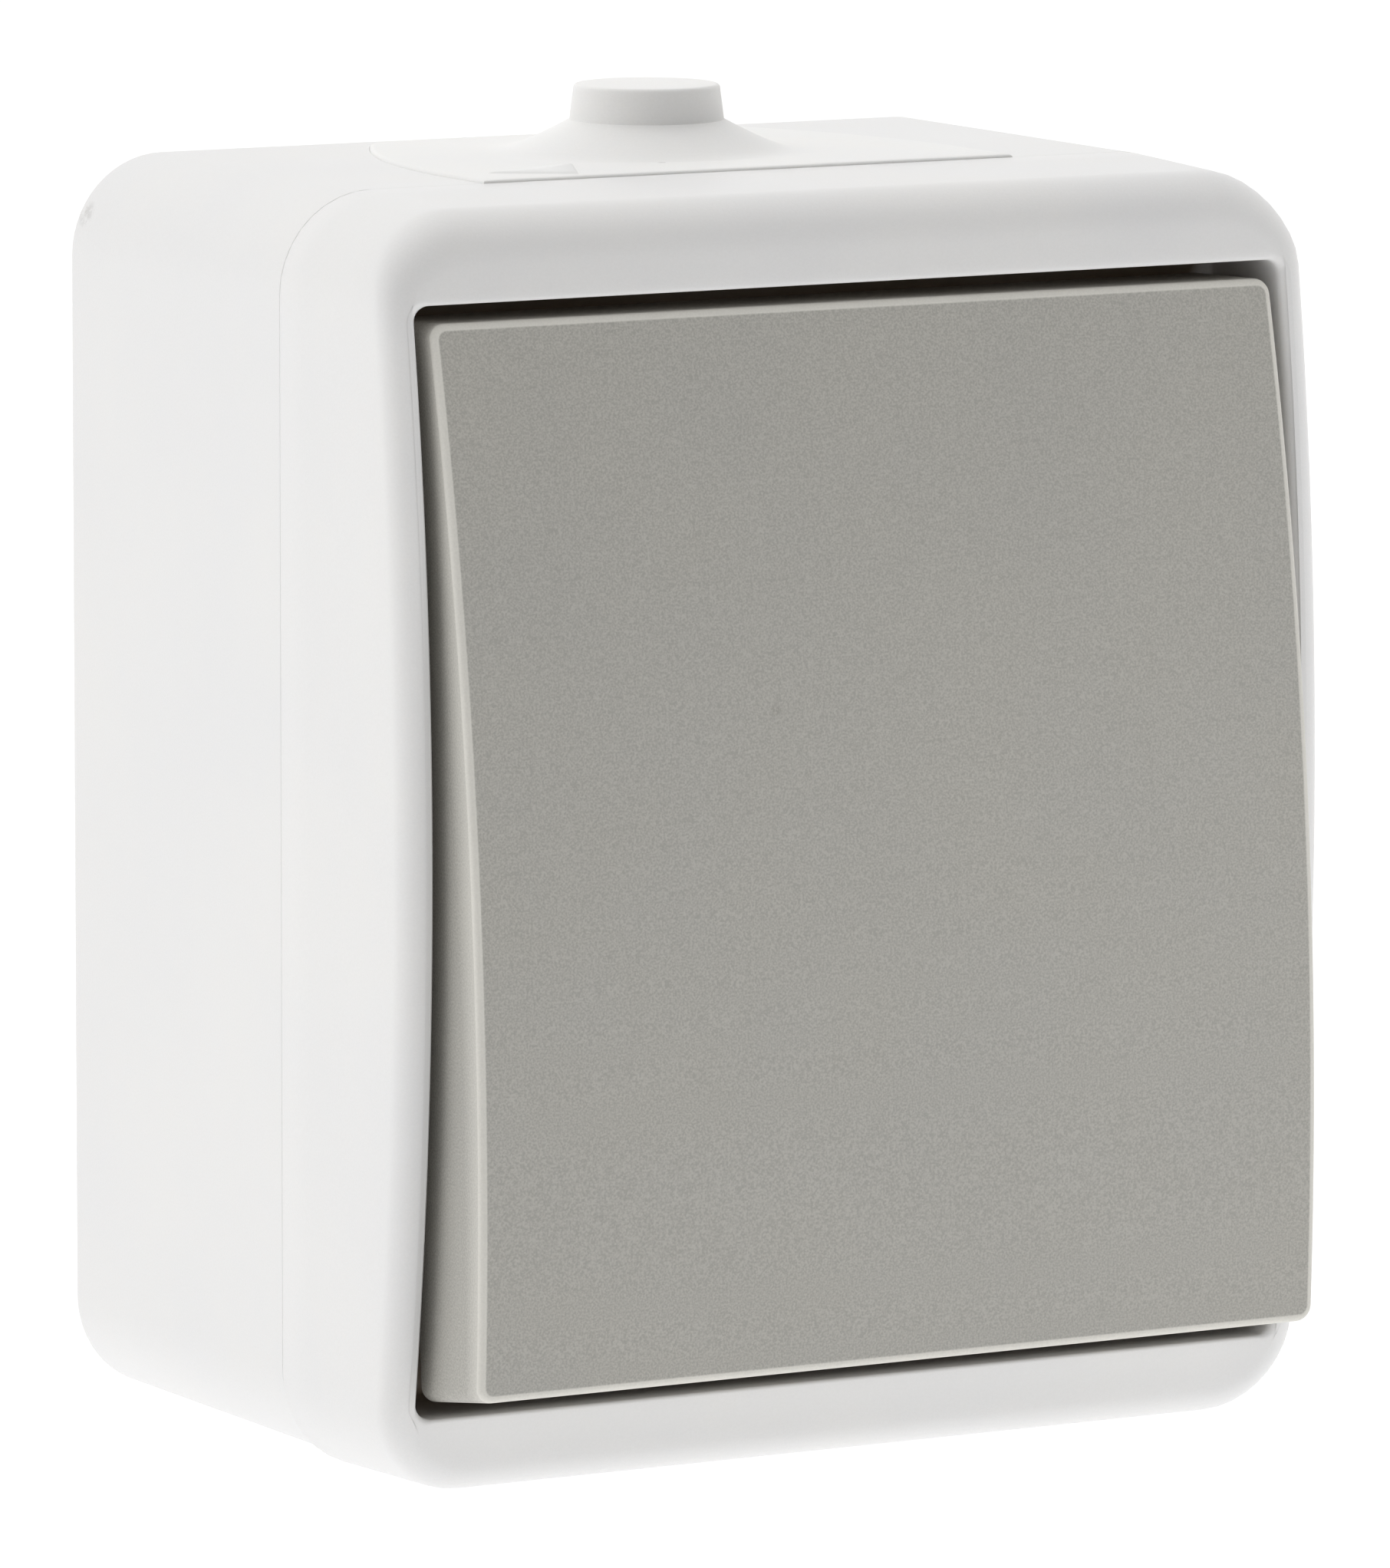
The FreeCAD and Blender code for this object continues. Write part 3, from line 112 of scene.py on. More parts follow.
# Sizes of the mouldings that no box gives. An outline is half its width, half its height and its corner
CORNER = 6.3 * MM
ARCH = 235 * MM
GROOVE = 0.06 * MM
TRAY, TRAY_WALL, TRAY_FOOT = PARTING + 5 * MM, 2 * MM, 0.4 * MM
OPENING = (30.55 * MM, 34.15 * MM, 1.0 * MM)
DAM = (14.8 * MM, 12.2 * MM, 0.6 * MM)
DAM_RISE = 1.5 * MM
WINDOW = (13.6 * MM, 11.0 * MM, 0.3 * MM)
SKIRT_OUTSIDE, SKIRT_WALL, SKIRT_REACH = 1.75 * MM, 1.0 * MM, 2.5 * MM
PILLAR = (23.5 * MM, 26.0 * MM)
PILLAR_TOP, BOSS, SCREW_HOLE, PIN_HOLE = TRAY - 6.5 * MM, 4.0 * MM, 1.7 * MM, 1.9 * MM
ROCKER = (29.7 * MM, 32.75 * MM, 1.0 * MM)
ROCKER_REAR, ROCKER_CREST, ROCKER_WALL = 0.3 * MM, 10.26 * MM, 1.8 * MM
ROCKER_FLARE, ROCKER_SAG, ROCKER_REAR_EDGE, ROCKER_BORDER = 0.4 * MM, 0.3 * MM, 0.3 * MM, 0.1 * MM
RIB, RIB_ACROSS, RIB_RISE = 1.2 * MM, 21.0 * MM, 1.6 * MM
PLATFORM, PLATFORM_REAR, PLATFORM_WALL = (26.0 * MM, 22.0 * MM), 6.0 * MM, 1.8 * MM
LEG, HOOK, BAR_CORNER = (1.4 * MM, 5.0 * MM, 5.0 * MM), 0.8 * MM, 0.1 * MM
PLATE_BACK, PLATE_STRAIGHT, PLATE_NECK, PLATE_SHELF = 25 * MM, 4.5 * MM, 3.0 * MM, 5.2 * MM
PLATE_TOP, PLATE_THICKNESS, PLATE_SWELL, FLANGE = BODY_TOP + 0.2 * MM, 1.0 * MM, 0.09 * MM, 1.2 * MM
NIPPLE_ACROSS, NIPPLE_DEPTH, NIPPLE_WALL, CONE_RISE = 0.45 * MM, 14.3 * MM, 1.1 * MM, 1.9 * MM
NIPPLE_FOOT, NIPPLE_WAIST, NIPPLE_TOP, MEMBRANE_EDGE = 9.2 * MM, 4.9 * MM, 4.65 * MM, 0.28 * MM
POINTER = ((-16.4 * MM, -24.5 * MM), (-11.6 * MM, -27.4 * MM), (-8.8 * MM, -21.4 * MM))
POINTER_FOOT, POINTER_RISE, POINTER_DRAFT = -0.3 * MM, 0.10 * MM, 0.88
SPRING_RADIUS, SPRING_WIRE, SPRING_TURNS = 1.5 * MM, 0.2 * MM, 4.5
SPRING_SPAN, SPRING_TRAVEL = (-2.1 * MM, 4.3 * MM), 0.6 * MM

# Small marks that the pictures show, in mm: where they lie. A mark's size, colour and strength follow
MARK = (0.16, 0.14, 0.11)
SCUFF_SPOTS = ((-33.0, -0.9, 36.2),)
MEMBRANE_SPECKS = ((-3.4, -23.2, 39.8), (-1.3, -20.6, 41.2), (-7.8, -18.6, 40.9))
FRAME_SPECKS = ((19.8, -41.5, 39.2), (22.2, -41.5, 39.2))
ROCKER_SPECKS = ((23.1, -46.5, 19.8), (-8.2, -46.5, 8.3), (-6.2, -46.5, 4.2), (18.9, -46.5, -28.6))
SCUFF, SPECK, FAINT_SPECK = (1.2 * MM, MARK, 0.3), (0.35 * MM, MARK, 0.5), (0.45 * MM, MARK, 0.3)

# Painted shade: the recess round the rocker is coloured a darker brown the deeper it goes, and less so on
# its right wall, which is lit
RECESS_SHADE = (0.34, 0.24, 0.15)
RECESS_SHADE_SHARES = (0.25, 0.5, 0.75) + (0.9,) * 8
LIT_WALL_SHADE_LOSS = 0.7
# Painted highlight: shares of a lighter colour over the rocker's rounded edge, from its shoulder on
RIM_HIGHLIGHT_SHARES = (0.4,) + (0.75,) * 7

# Light
LAMPS = (("key_light", (-0.95, -0.25, 0.40), 0.9, "key_power"),
         ("top_light", (0.0, 0.15, 1.1), 1.0, "top_power"),
         ("side_light", (0.24, -0.30, -0.04), 0.12, "side_power"))
FRONT, FRONT_EDGE, FRONT_HEART = Vector((0.1, -1.0, 0.1)).normalized(), 0.1, 0.75
FLOOR_FRONT, FLOOR_SIDE, FLOOR_REACH, FLOOR_RISE, FLOOR_BEND = -2.5, 3.0, 1.6, 2.2, 0.6

# Camera: turned to the right of straight ahead and tipped down, in degrees
CAMERA_SPOT = Vector((-0.3919, -0.7236, 0.1135))
CAMERA_YAW, CAMERA_PITCH, CAMERA_ROLL = 29.17, 8.03, 0.09


# Finishes that a user would change

class SwitchFinishes(bpy.types.PropertyGroup):
    """Colours of the materials."""

    shell: bpy.props.FloatVectorProperty(
        name="Shell", description="White moulding of the box and the frame",
        subtype="COLOR", size=3, min=0, max=1, default=(0.885, 0.882, 0.882))
    rocker: bpy.props.FloatVectorProperty(
        name="Rocker", description="Grey moulding of the rocker",
        subtype="COLOR", size=3, min=0, max=1, default=(0.530, 0.518, 0.480))
    membrane: bpy.props.FloatVectorProperty(
        name="Membrane", description="White rubber of the cable membrane",
        subtype="COLOR", size=3, min=0, max=1, default=(0.93, 0.927, 0.92))
    seal: bpy.props.FloatVectorProperty(
        name="Seals", description="Dark rubber of the seals and of the boot",
        subtype="COLOR", size=3, min=0, max=1, default=(0.022, 0.021, 0.020))
    mechanism: bpy.props.FloatVectorProperty(
        name="Mechanism", description="Moulding of the mechanism's base and cover",
        subtype="COLOR", size=3, min=0, max=1, default=(0.60, 0.59, 0.56))
    carrier: bpy.props.FloatVectorProperty(
        name="Carrier", description="Moulding of the rocker's carrier and of the plunger",
        subtype="COLOR", size=3, min=0, max=1, default=(0.35, 0.35, 0.34))
    grain: bpy.props.FloatProperty(
        name="Grain", description="Size of the moulded grain",
        subtype="DISTANCE", unit="LENGTH", min=0.00002, max=0.002, precision=5, default=0.00022)


class SwitchForms(bpy.types.PropertyGroup):
    """Roundings that the pictures show."""

    side_edge: bpy.props.FloatProperty(
        name="Side rounding", description="Rounding between the arched face and the frame's sides",
        subtype="DISTANCE", unit="LENGTH", min=0.0002, max=0.004, precision=5, default=0.00175)
    top_edge: bpy.props.FloatProperty(
        name="Top rounding", description="Rounding between the arched face and the frame's top",
        subtype="DISTANCE", unit="LENGTH", min=0.0002, max=0.005, precision=5, default=0.0030)
    opening_edge: bpy.props.FloatProperty(
        name="Opening rounding", description="Rounding at the edge of the rocker's opening",
        subtype="DISTANCE", unit="LENGTH", min=0.0001, max=0.002, precision=5, default=0.0007)
    rocker_edge: bpy.props.FloatProperty(
        name="Rocker rounding", description="Rounding of the rocker's edge",
        subtype="DISTANCE", unit="LENGTH", min=0.0001, max=0.002, precision=5, default=0.0004)
    taper: bpy.props.FloatProperty(
        name="Taper", description="How far each side of the frame draws in at the front",
        subtype="DISTANCE", unit="LENGTH", min=0.0, max=0.001, precision=5, default=0.00035)


class SwitchStudio(bpy.types.PropertyGroup):
    """Light and camera."""

    key_power: bpy.props.FloatProperty(
        name="Key light", description="Power of the large light on the left",
        subtype="POWER", unit="POWER", min=0, default=0.1)
    top_power: bpy.props.FloatProperty(
        name="Top light", description="Power of the large light overhead",
        subtype="POWER", unit="POWER", min=0, default=3.0)
    side_power: bpy.props.FloatProperty(
        name="Side light", description="Power of the small light close by on the right",
        subtype="POWER", unit="POWER", min=0, default=0.33)
    surround: bpy.props.FloatProperty(
        name="Surround", description="Brightness of the white surround at the sides, above and behind",
        min=0, default=0.99)
    front_surround: bpy.props.FloatProperty(
        name="Front surround", description="Brightness of the surround on the camera's side",
        min=0, default=0.05)
    floor_glow: bpy.props.FloatProperty(
        name="Floor glow", description="Light that the white floor gives off by itself",
        min=0, default=0.94)
    lens: bpy.props.FloatProperty(
        name="Lens", description="Focal length that gives the picture's perspective",
        subtype="DISTANCE_CAMERA", unit="CAMERA", min=10, max=500, default=295.4)


# Surfaces worked out on a grid

def rectangle_walk(corner_steps=9, end_steps=14, side_steps=30):
    """One walk round a rectangle, anticlockwise as the user sees it: corner factors C and directions N.

    A rounded rectangle is a small circle carried round a smaller rectangle: point = C * (half size -
    radius) + N * radius. Along a side C slides from corner to corner and N stands still; at a corner C
    stands still and N turns a quarter.
    """
    corners = np.array([(1, -1), (1, 1), (-1, 1), (-1, -1)], float)
    factors, directions = [], []
    for index, corner in enumerate(corners):
        angles = np.radians(90 * (index - 1) + np.linspace(0, 90, corner_steps + 1))
        turn = np.stack((np.cos(angles), np.sin(angles)), 1)
        factors.append(np.repeat(corner[None], len(turn), 0))
        directions.append(turn)
        following = corners[(index + 1) % 4]
        steps = side_steps if following[0] == corner[0] else end_steps
        along = np.linspace(0, 1, steps + 2)[1:-1, None]
        factors.append(corner + along * (following - corner))
        directions.append(np.repeat(turn[-1:], steps, 0))
    return np.concatenate(factors), np.concatenate(directions)


CORNERS, OUTWARD = rectangle_walk()


def ring(half_width, half_height, radius, middle=0.0):
    """Rounded rectangle about a height: C * (half size - radius) + N * radius."""
    return CORNERS * (half_width - radius, half_height - radius) + OUTWARD * radius + (0.0, middle)


def raised(plan, depth):
    """Points of a plan (across, up) at a depth towards the user."""
    return np.stack((plan[:, 0], -np.broadcast_to(depth, len(plan)), plan[:, 1]), 1)


def arch(height):
    """How far the arch falls back from its crest at a height above its middle: a circle's sagitta."""
    return ARCH - np.sqrt(ARCH ** 2 - height ** 2)


def between(first, last, steps, ends=True):
    """Rings in even steps from one ring to another: (1 - t) * first + t * last."""
    share = np.linspace(0, 1, steps + 2)
    share = share if ends else share[1:-1]
    return [first + at * (last - first) for at in share]


def turned_edge(start, end, corner, steps=6):
    """Quarter round between two rings that meet at a corner ring: an ellipse's arc about the far corner."""
    angles = np.linspace(0, math.pi / 2, steps + 1)
    centre = start + end - corner
    return [centre + (start - centre) * math.cos(angle) + (end - centre) * math.sin(angle)
            for angle in angles]


def grid_faces(rings, around, closed, first=0):
    """Quads between neighbouring rings, closed round each ring and, if asked, from last ring to first."""
    rows = np.arange(rings if closed else rings - 1)[:, None]
    columns = np.arange(around)[None]
    here, onward = rows * around, ((rows + 1) % rings) * around
    beside = (columns + 1) % around
    quads = np.stack((here + columns, here + beside, onward + beside, onward + columns), -1)
    return quads.reshape(-1, 4) + first


def skin(name, grids, painted_light_rings=None):
    """A mesh object from grids of points (rings, around, 3), each with a flag for closing on itself.

    The painted-light rings of the first grid get a share of a second colour, used for painted shade and
    painted highlights, which goes into an attribute.
    """
    points, faces, first = [], [], 0
    for grid, closed in grids:
        rings, around = grid.shape[:2]
        points.append(grid.reshape(-1, 3))
        faces.append(grid_faces(rings, around, closed, first))
        first += rings * around
    mesh = bpy.data.meshes.new(name)
    mesh.from_pydata(np.concatenate(points).tolist(), [], np.concatenate(faces).tolist())
    shares, around = np.zeros(first), grids[0][0].shape[1]
    for index, share in (painted_light_rings or {}).items():
        shares[index * around:(index + 1) * around] = share
    mesh.attributes.new("tint", "FLOAT", "POINT").data.foreach_set("value", shares)
    return finished(name, mesh)


def finished(name, mesh, sharp=32.0):
    """Merges seams and poles, turns the faces outwards and smooths all but the sharp edges."""
    shape = bmesh.new()
    shape.from_mesh(mesh)
    bmesh.ops.remove_doubles(shape, verts=shape.verts, dist=1e-7)
    bmesh.ops.dissolve_degenerate(shape, edges=shape.edges, dist=1e-8)
    bmesh.ops.recalc_face_normals(shape, faces=shape.faces)
    shape.to_mesh(mesh)
    shape.free()
    mesh.shade_smooth()
    mesh.set_sharp_from_angle(angle=math.radians(sharp))
    made = bpy.data.objects.new(name, mesh)
    bpy.context.scene.collection.objects.link(made)
    return made


def rounded_copy(node, bevel=0.0, segments=2):
    """A CAD node as a clean mesh: its flat faces joined, its curved ones smooth, its edges softened."""
    mesh = frame["nodes"][node].data.copy()
    mesh.materials.clear()
    shape = bmesh.new()
    shape.from_mesh(mesh)
    bmesh.ops.remove_doubles(shape, verts=shape.verts, dist=1e-6)
    bmesh.ops.dissolve_limit(shape, angle_limit=math.radians(0.4), verts=shape.verts, edges=shape.edges)
    shape.to_mesh(mesh)
    shape.free()
    mesh.shade_smooth()
    mesh.set_sharp_from_angle(angle=math.radians(28))
    made = bpy.data.objects.new(node + "_dressed", mesh)
    bpy.context.scene.collection.objects.link(made)
    if bevel:
        edge = made.modifiers.new("edge", "BEVEL")
        edge.width, edge.segments, edge.limit_method = bevel, segments, "ANGLE"
        edge.angle_limit = math.radians(40)
        edge.use_clamp_overlap = True
    weigh = made.modifiers.new("normals", "WEIGHTED_NORMAL")
    weigh.keep_sharp = True
    return made


def place(piece, node, material, slot):
    """Puts a finished piece on its node's body, in the node's stead, with its material."""
    piece.data.materials.clear()
    piece.data.materials.append(material)
    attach(piece, frame["nodes"][node]["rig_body"])
    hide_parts(node)
    return piece


# Materials

RANGE_SOCKETS = ("From Min", "From Max", "To Min", "To Max")


class Recipe:
    """A node tree under construction: makes nodes and joins their sockets."""

    def __init__(self, name):
        self.material = bpy.data.materials.new(name)
        self.material.use_nodes = True
        self.tree = self.material.node_tree
        self.shader = self.tree.nodes["Principled BSDF"]
        self.place = self.node("ShaderNodeTexCoord").outputs["Object"]

    def node(self, kind, **settings):
        made = self.tree.nodes.new(kind)
        for name, value in settings.items():
            setattr(made, name, value)
        return made

    def join(self, source, target):
        self.tree.links.new(source, target)

    def noise(self, size, detail=3.0, roughness=0.55, place=None):
        """Cloudy noise whose blotches are about as large as a size in metres."""
        made = self.node("ShaderNodeTexNoise")
        made.inputs["Scale"].default_value = 1 / size
        made.inputs["Detail"].default_value = detail
        made.inputs["Roughness"].default_value = roughness
        self.join(place or self.place, made.inputs["Vector"])
        return made.outputs["Fac"]

    def ranged(self, source, low, high, to_low=0.0, to_high=1.0):
        made = self.node("ShaderNodeMapRange")
        for socket, value in zip(RANGE_SOCKETS, (low, high, to_low, to_high)):
            made.inputs[socket].default_value = value
        self.join(source, made.inputs["Value"])
        return made.outputs["Result"]

    def maths(self, operation, first, second):
        made = self.node("ShaderNodeMath", operation=operation)
        for socket, value in zip(made.inputs, (first, second)):
            if isinstance(value, (int, float)):
                socket.default_value = value
            else:
                self.join(value, socket)
        return made.outputs["Value"]

    def mixed(self, factor, first, second):
        """Colour between two, each a colour or a socket."""
        made = self.node("ShaderNodeMix", data_type="RGBA")
        self.join(factor, made.inputs["Factor"])
        for socket, value in ((made.inputs[6], first), (made.inputs[7], second)):
            if hasattr(value, "is_output"):
                self.join(value, socket)
            else:
                socket.default_value = (*value[:3], 1)
        return made.outputs[2]

    def near(self, spot, radius, soft=0.5):
        """1 at a spot and 0 beyond a radius, with a soft rim."""
        made = self.node("ShaderNodeVectorMath", operation="DISTANCE")
        self.join(self.place, made.inputs[0])
        made.inputs[1].default_value = spot
        return self.ranged(made.outputs["Value"], radius * (1 - soft), radius, 1.0, 0.0)

    def bump(self, height, distance, strength=1.0, under=None):
        made = self.node("ShaderNodeBump")
        made.inputs["Distance"].default_value = distance
        made.inputs["Strength"].default_value = strength
        self.join(height, made.inputs["Height"])
        if under is not None:
            self.join(under, made.inputs["Normal"])
        return made.outputs["Normal"]

    def set(self, **values):
        for name, value in values.items():
            self.shader.inputs[name.replace("_", " ")].default_value = value


def marks_at(spots, kind):
    """Marks of one kind (radius, colour, strength) at spots in mm."""
    return [(tuple(along * MM for along in spot), *kind) for spot in spots]


def shade(colour, factor):
    """A colour made lighter or darker."""
    return tuple(min(1.0, channel * factor) for channel in colour[:3])


def warmed(colour, amount):
    """A colour moved a little towards cream."""
    return (colour[0] * (1 + 0.4 * amount), colour[1], colour[2] * (1 - amount))


def moulded(name, colour, grain, depth, roughness, mottle=0.02, marks=(), soft=0.0, speckle=0.02,
            tint=None):
    """Moulded plastic or rubber: cloudy tone, fine grain in relief, and small marks at given spots.

    Speckle is the contrast of the fine grain. A second colour, for painted shade and painted highlights,
    shows where its attribute is set.
    """
    made = Recipe(name)
    cloud = made.noise(0.012, 4.0)
    fine = made.noise(grain, 2.0, 0.6)
    speck = made.ranged(made.noise(grain * 0.6, 1.0), 0.35, 0.65, 0.0, speckle)
    base = made.mixed(made.ranged(cloud, 0.35, 0.65), shade(colour, 1 - mottle),
                      warmed(colour, mottle * 0.5))
    base = made.mixed(speck, base, (0.0, 0.0, 0.0))
    for spot, radius, stain, strength in marks:
        rough_rim = made.maths("MULTIPLY", made.near(spot, radius), made.ranged(
            made.noise(radius * 0.5, 4.0, 0.7), 0.42, 0.56))
        base = made.mixed(made.maths("MULTIPLY", rough_rim, strength), base, stain)
    # Painted light: the second colour, laid where the attribute says, is painted shade or a painted
    # highlight
    if tint:
        share = made.node("ShaderNodeAttribute", attribute_name="tint").outputs["Fac"]
        base = made.mixed(made.maths("MULTIPLY", share, made.ranged(cloud, 0.2, 0.8, 0.8, 1.0)), base, tint)
    made.join(base, made.shader.inputs["Base Color"])
    made.join(made.ranged(made.noise(0.006, 3.0), 0.3, 0.7, roughness - 0.05, roughness + 0.05),
              made.shader.inputs["Roughness"])
    made.join(made.bump(fine, depth), made.shader.inputs["Normal"])
    made.set(IOR=1.5, Subsurface_Weight=soft, Subsurface_Radius=(1.0, 0.9, 0.8), Subsurface_Scale=0.0008)
    return made.material


def metal(name, colour, grain, roughness):
    """Plated or rolled metal: fine streaks, tarnish clouds and a little relief."""
    made = Recipe(name)
    stretch = made.node("ShaderNodeMapping")
    stretch.inputs["Scale"].default_value = (1.0, 1.0, 0.15)
    made.join(made.place, stretch.inputs["Vector"])
    streak = made.noise(grain, 4.0, 0.6, stretch.outputs["Vector"])
    cloud = made.noise(0.004, 4.0)
    made.join(made.mixed(made.ranged(cloud, 0.35, 0.7), colour, shade(colour, 0.72)),
              made.shader.inputs["Base Color"])
    made.join(made.ranged(streak, 0.25, 0.75, roughness - 0.08, roughness + 0.12),
              made.shader.inputs["Roughness"])
    made.join(made.bump(streak, 0.00001), made.shader.inputs["Normal"])
    made.set(Metallic=1.0)
    return made.material


# Pieces

def finishes():
    return bpy.context.scene.switch_finishes


def forms():
    return bpy.context.scene.switch_forms


class SWITCH_OT_back_box(bpy.types.Operator):
    """Back box: the moulded white shell that is screwed to the wall"""

    bl_idname = "switch.back_box"
    bl_label = "Back box"

    def execute(self, context):
        material = moulded("shell_white_box", finishes().shell, finishes().grain, 0.000006, 0.42,
                           marks=marks_at(SCUFF_SPOTS, SCUFF), soft=0.08)
        place(rounded_copy("back_box", GROOVE), "back_box", material, "shell_white")
        return {"FINISHED"}


def face_depth(plan):
    """Depth of the arched face of the frame above a plan."""
    return CREST - arch(plan[:, 1] - MIDDLE)


def frame_surface(side_edge, top_edge, opening_edge, taper):
    """The frame as one closed band of rings, from the parting line round the face and back.

    The wall leans in by the taper on its way to the face. The rounding's radius grows from the sides
    to the top with the square of the smooth step of the outward direction. Each ring is a rounded
    rectangle, set in along its outward direction; on the face its depth is the crest less the arch.
    The opening's rounding is full at its sides and about a third of that at its top and bottom. The rings
    of the recess come back too, each with its share of painted shade, a darker brown, in the second colour.
    """
    middle = (frame_low[2] + frame_high[2]) / 2
    rim = ring(HALF_WIDTH, (frame_high[2] - frame_low[2]) / 2, CORNER, middle)
    upward = np.clip(OUTWARD[:, 1], 0, 1)
    radius = side_edge + (top_edge - side_edge) * upward ** 2 * (3 - 2 * upward)

    lean = rim - OUTWARD * taper
    shoulder = raised(lean, face_depth(lean) - radius)
    inner = lean - OUTWARD * radius[:, None]
    crown = raised(inner, face_depth(inner))
    corner = raised(lean, face_depth(lean))
    start = raised(rim - OUTWARD * GROOVE, PARTING)
    lip = raised(rim, PARTING + GROOVE)
    band = turned_edge(start, lip, raised(rim, PARTING), 3)
    band += between(lip, shoulder, 3, False)
    band += turned_edge(shoulder, crown, corner, 9)

    hole = ring(*OPENING, MIDDLE)
    opening_edge = opening_edge * (0.35 + 0.65 * np.abs(OUTWARD[:, 0]))
    brim = hole + OUTWARD * opening_edge[:, None]
    face = [raised(plan, face_depth(plan)) for plan in between(inner, brim, 4, False)]
    throat = raised(hole, face_depth(hole) - opening_edge)
    band += face + turned_edge(raised(brim, face_depth(brim)), throat, raised(hole, face_depth(hole)), 5)
    floor = hole - OUTWARD * TRAY_FOOT
    # Painted shade: the recess rings get a share of darker brown, less on the lit right wall
    wall_shade_share = 1 - LIT_WALL_SHADE_LOSS * np.clip(OUTWARD[:, 0], 0, 1)
    recess_shade = {len(band) + step: share * wall_shade_share for step, share in enumerate(RECESS_SHADE_SHARES)}
    band += between(throat, raised(hole, TRAY + TRAY_FOOT), 3, False)
    band += turned_edge(raised(hole, TRAY + TRAY_FOOT), raised(floor, TRAY), raised(hole, TRAY), 3)

    dam, window = ring(*DAM, MIDDLE), ring(*WINDOW, MIDDLE)
    band += between(raised(floor, TRAY), raised(dam, TRAY), 4, False)
    band += [raised(dam, TRAY), raised(dam, TRAY + DAM_RISE), raised(window, TRAY + DAM_RISE),
             raised(window, TRAY - TRAY_WALL)]
    behind = ring(HALF_WIDTH - SKIRT_OUTSIDE - SKIRT_WALL, BODY_TOP - SKIRT_OUTSIDE - SKIRT_WALL,
                  CORNER - SKIRT_OUTSIDE - SKIRT_WALL)
    plug = ring(HALF_WIDTH - SKIRT_OUTSIDE, BODY_TOP - SKIRT_OUTSIDE, CORNER - SKIRT_OUTSIDE)
    band += between(raised(window, TRAY - TRAY_WALL), raised(behind, TRAY - TRAY_WALL), 3, False)
    band += [raised(behind, TRAY - TRAY_WALL), raised(behind, PARTING - SKIRT_REACH),
             raised(plug, PARTING - SKIRT_REACH), raised(plug, PARTING)]
    return np.array(band), recess_shade


def sleeve(outer, inner, low, high, across, up, around=36):
    """Tube about a point, its axis towards the user: two circles swept between two depths."""
    angles = np.linspace(0, 2 * math.pi, around, endpoint=False)
    circle = np.stack((np.cos(angles), np.sin(angles)), 1)
    return np.array([raised(circle * radius + (across, up), depth)
                     for radius, depth in ((outer, low), (outer, high), (inner, high), (inner, low))])


class SWITCH_OT_front_frame(bpy.types.Operator):
    """Front frame: arched face, tray and window in one moulding"""

    bl_idname = "switch.front_frame"
    bl_label = "Front frame"

    def execute(self, context):
        # Painted shade in the recess comes in as the frame's second colour
        material = moulded("shell_white_frame", finishes().shell, finishes().grain, 0.000006, 0.40,
                           marks=marks_at(FRAME_SPECKS, SPECK), soft=0.08, tint=RECESS_SHADE)
        form = forms()
        across, up = PILLAR
        tubes = [(sleeve(BOSS, hole, PILLAR_TOP, TRAY - TRAY_WALL, side * across, end * up), True)
                 for side, end, hole in ((1, 1, SCREW_HOLE), (-1, -1, SCREW_HOLE),
                                         (-1, 1, PIN_HOLE), (1, -1, PIN_HOLE))]
        surface, recess_shade = frame_surface(form.side_edge, form.top_edge, form.opening_edge, form.taper)
        piece = skin("front_frame_moulding", [(surface, True)] + tubes, recess_shade)
        place(piece, "front_frame", material, "shell_white")
        return {"FINISHED"}


def tipped(points):
    """Points drawn level about the hinge line, tipped with the rocker and carried to their place."""
    across, ahead, up = points[..., 0], points[..., 1], points[..., 2]
    return np.stack((across, ahead * math.cos(TILT) + up * math.sin(TILT) - PIVOT_DEPTH,
                     up * math.cos(TILT) - ahead * math.sin(TILT) + MIDDLE), -1)


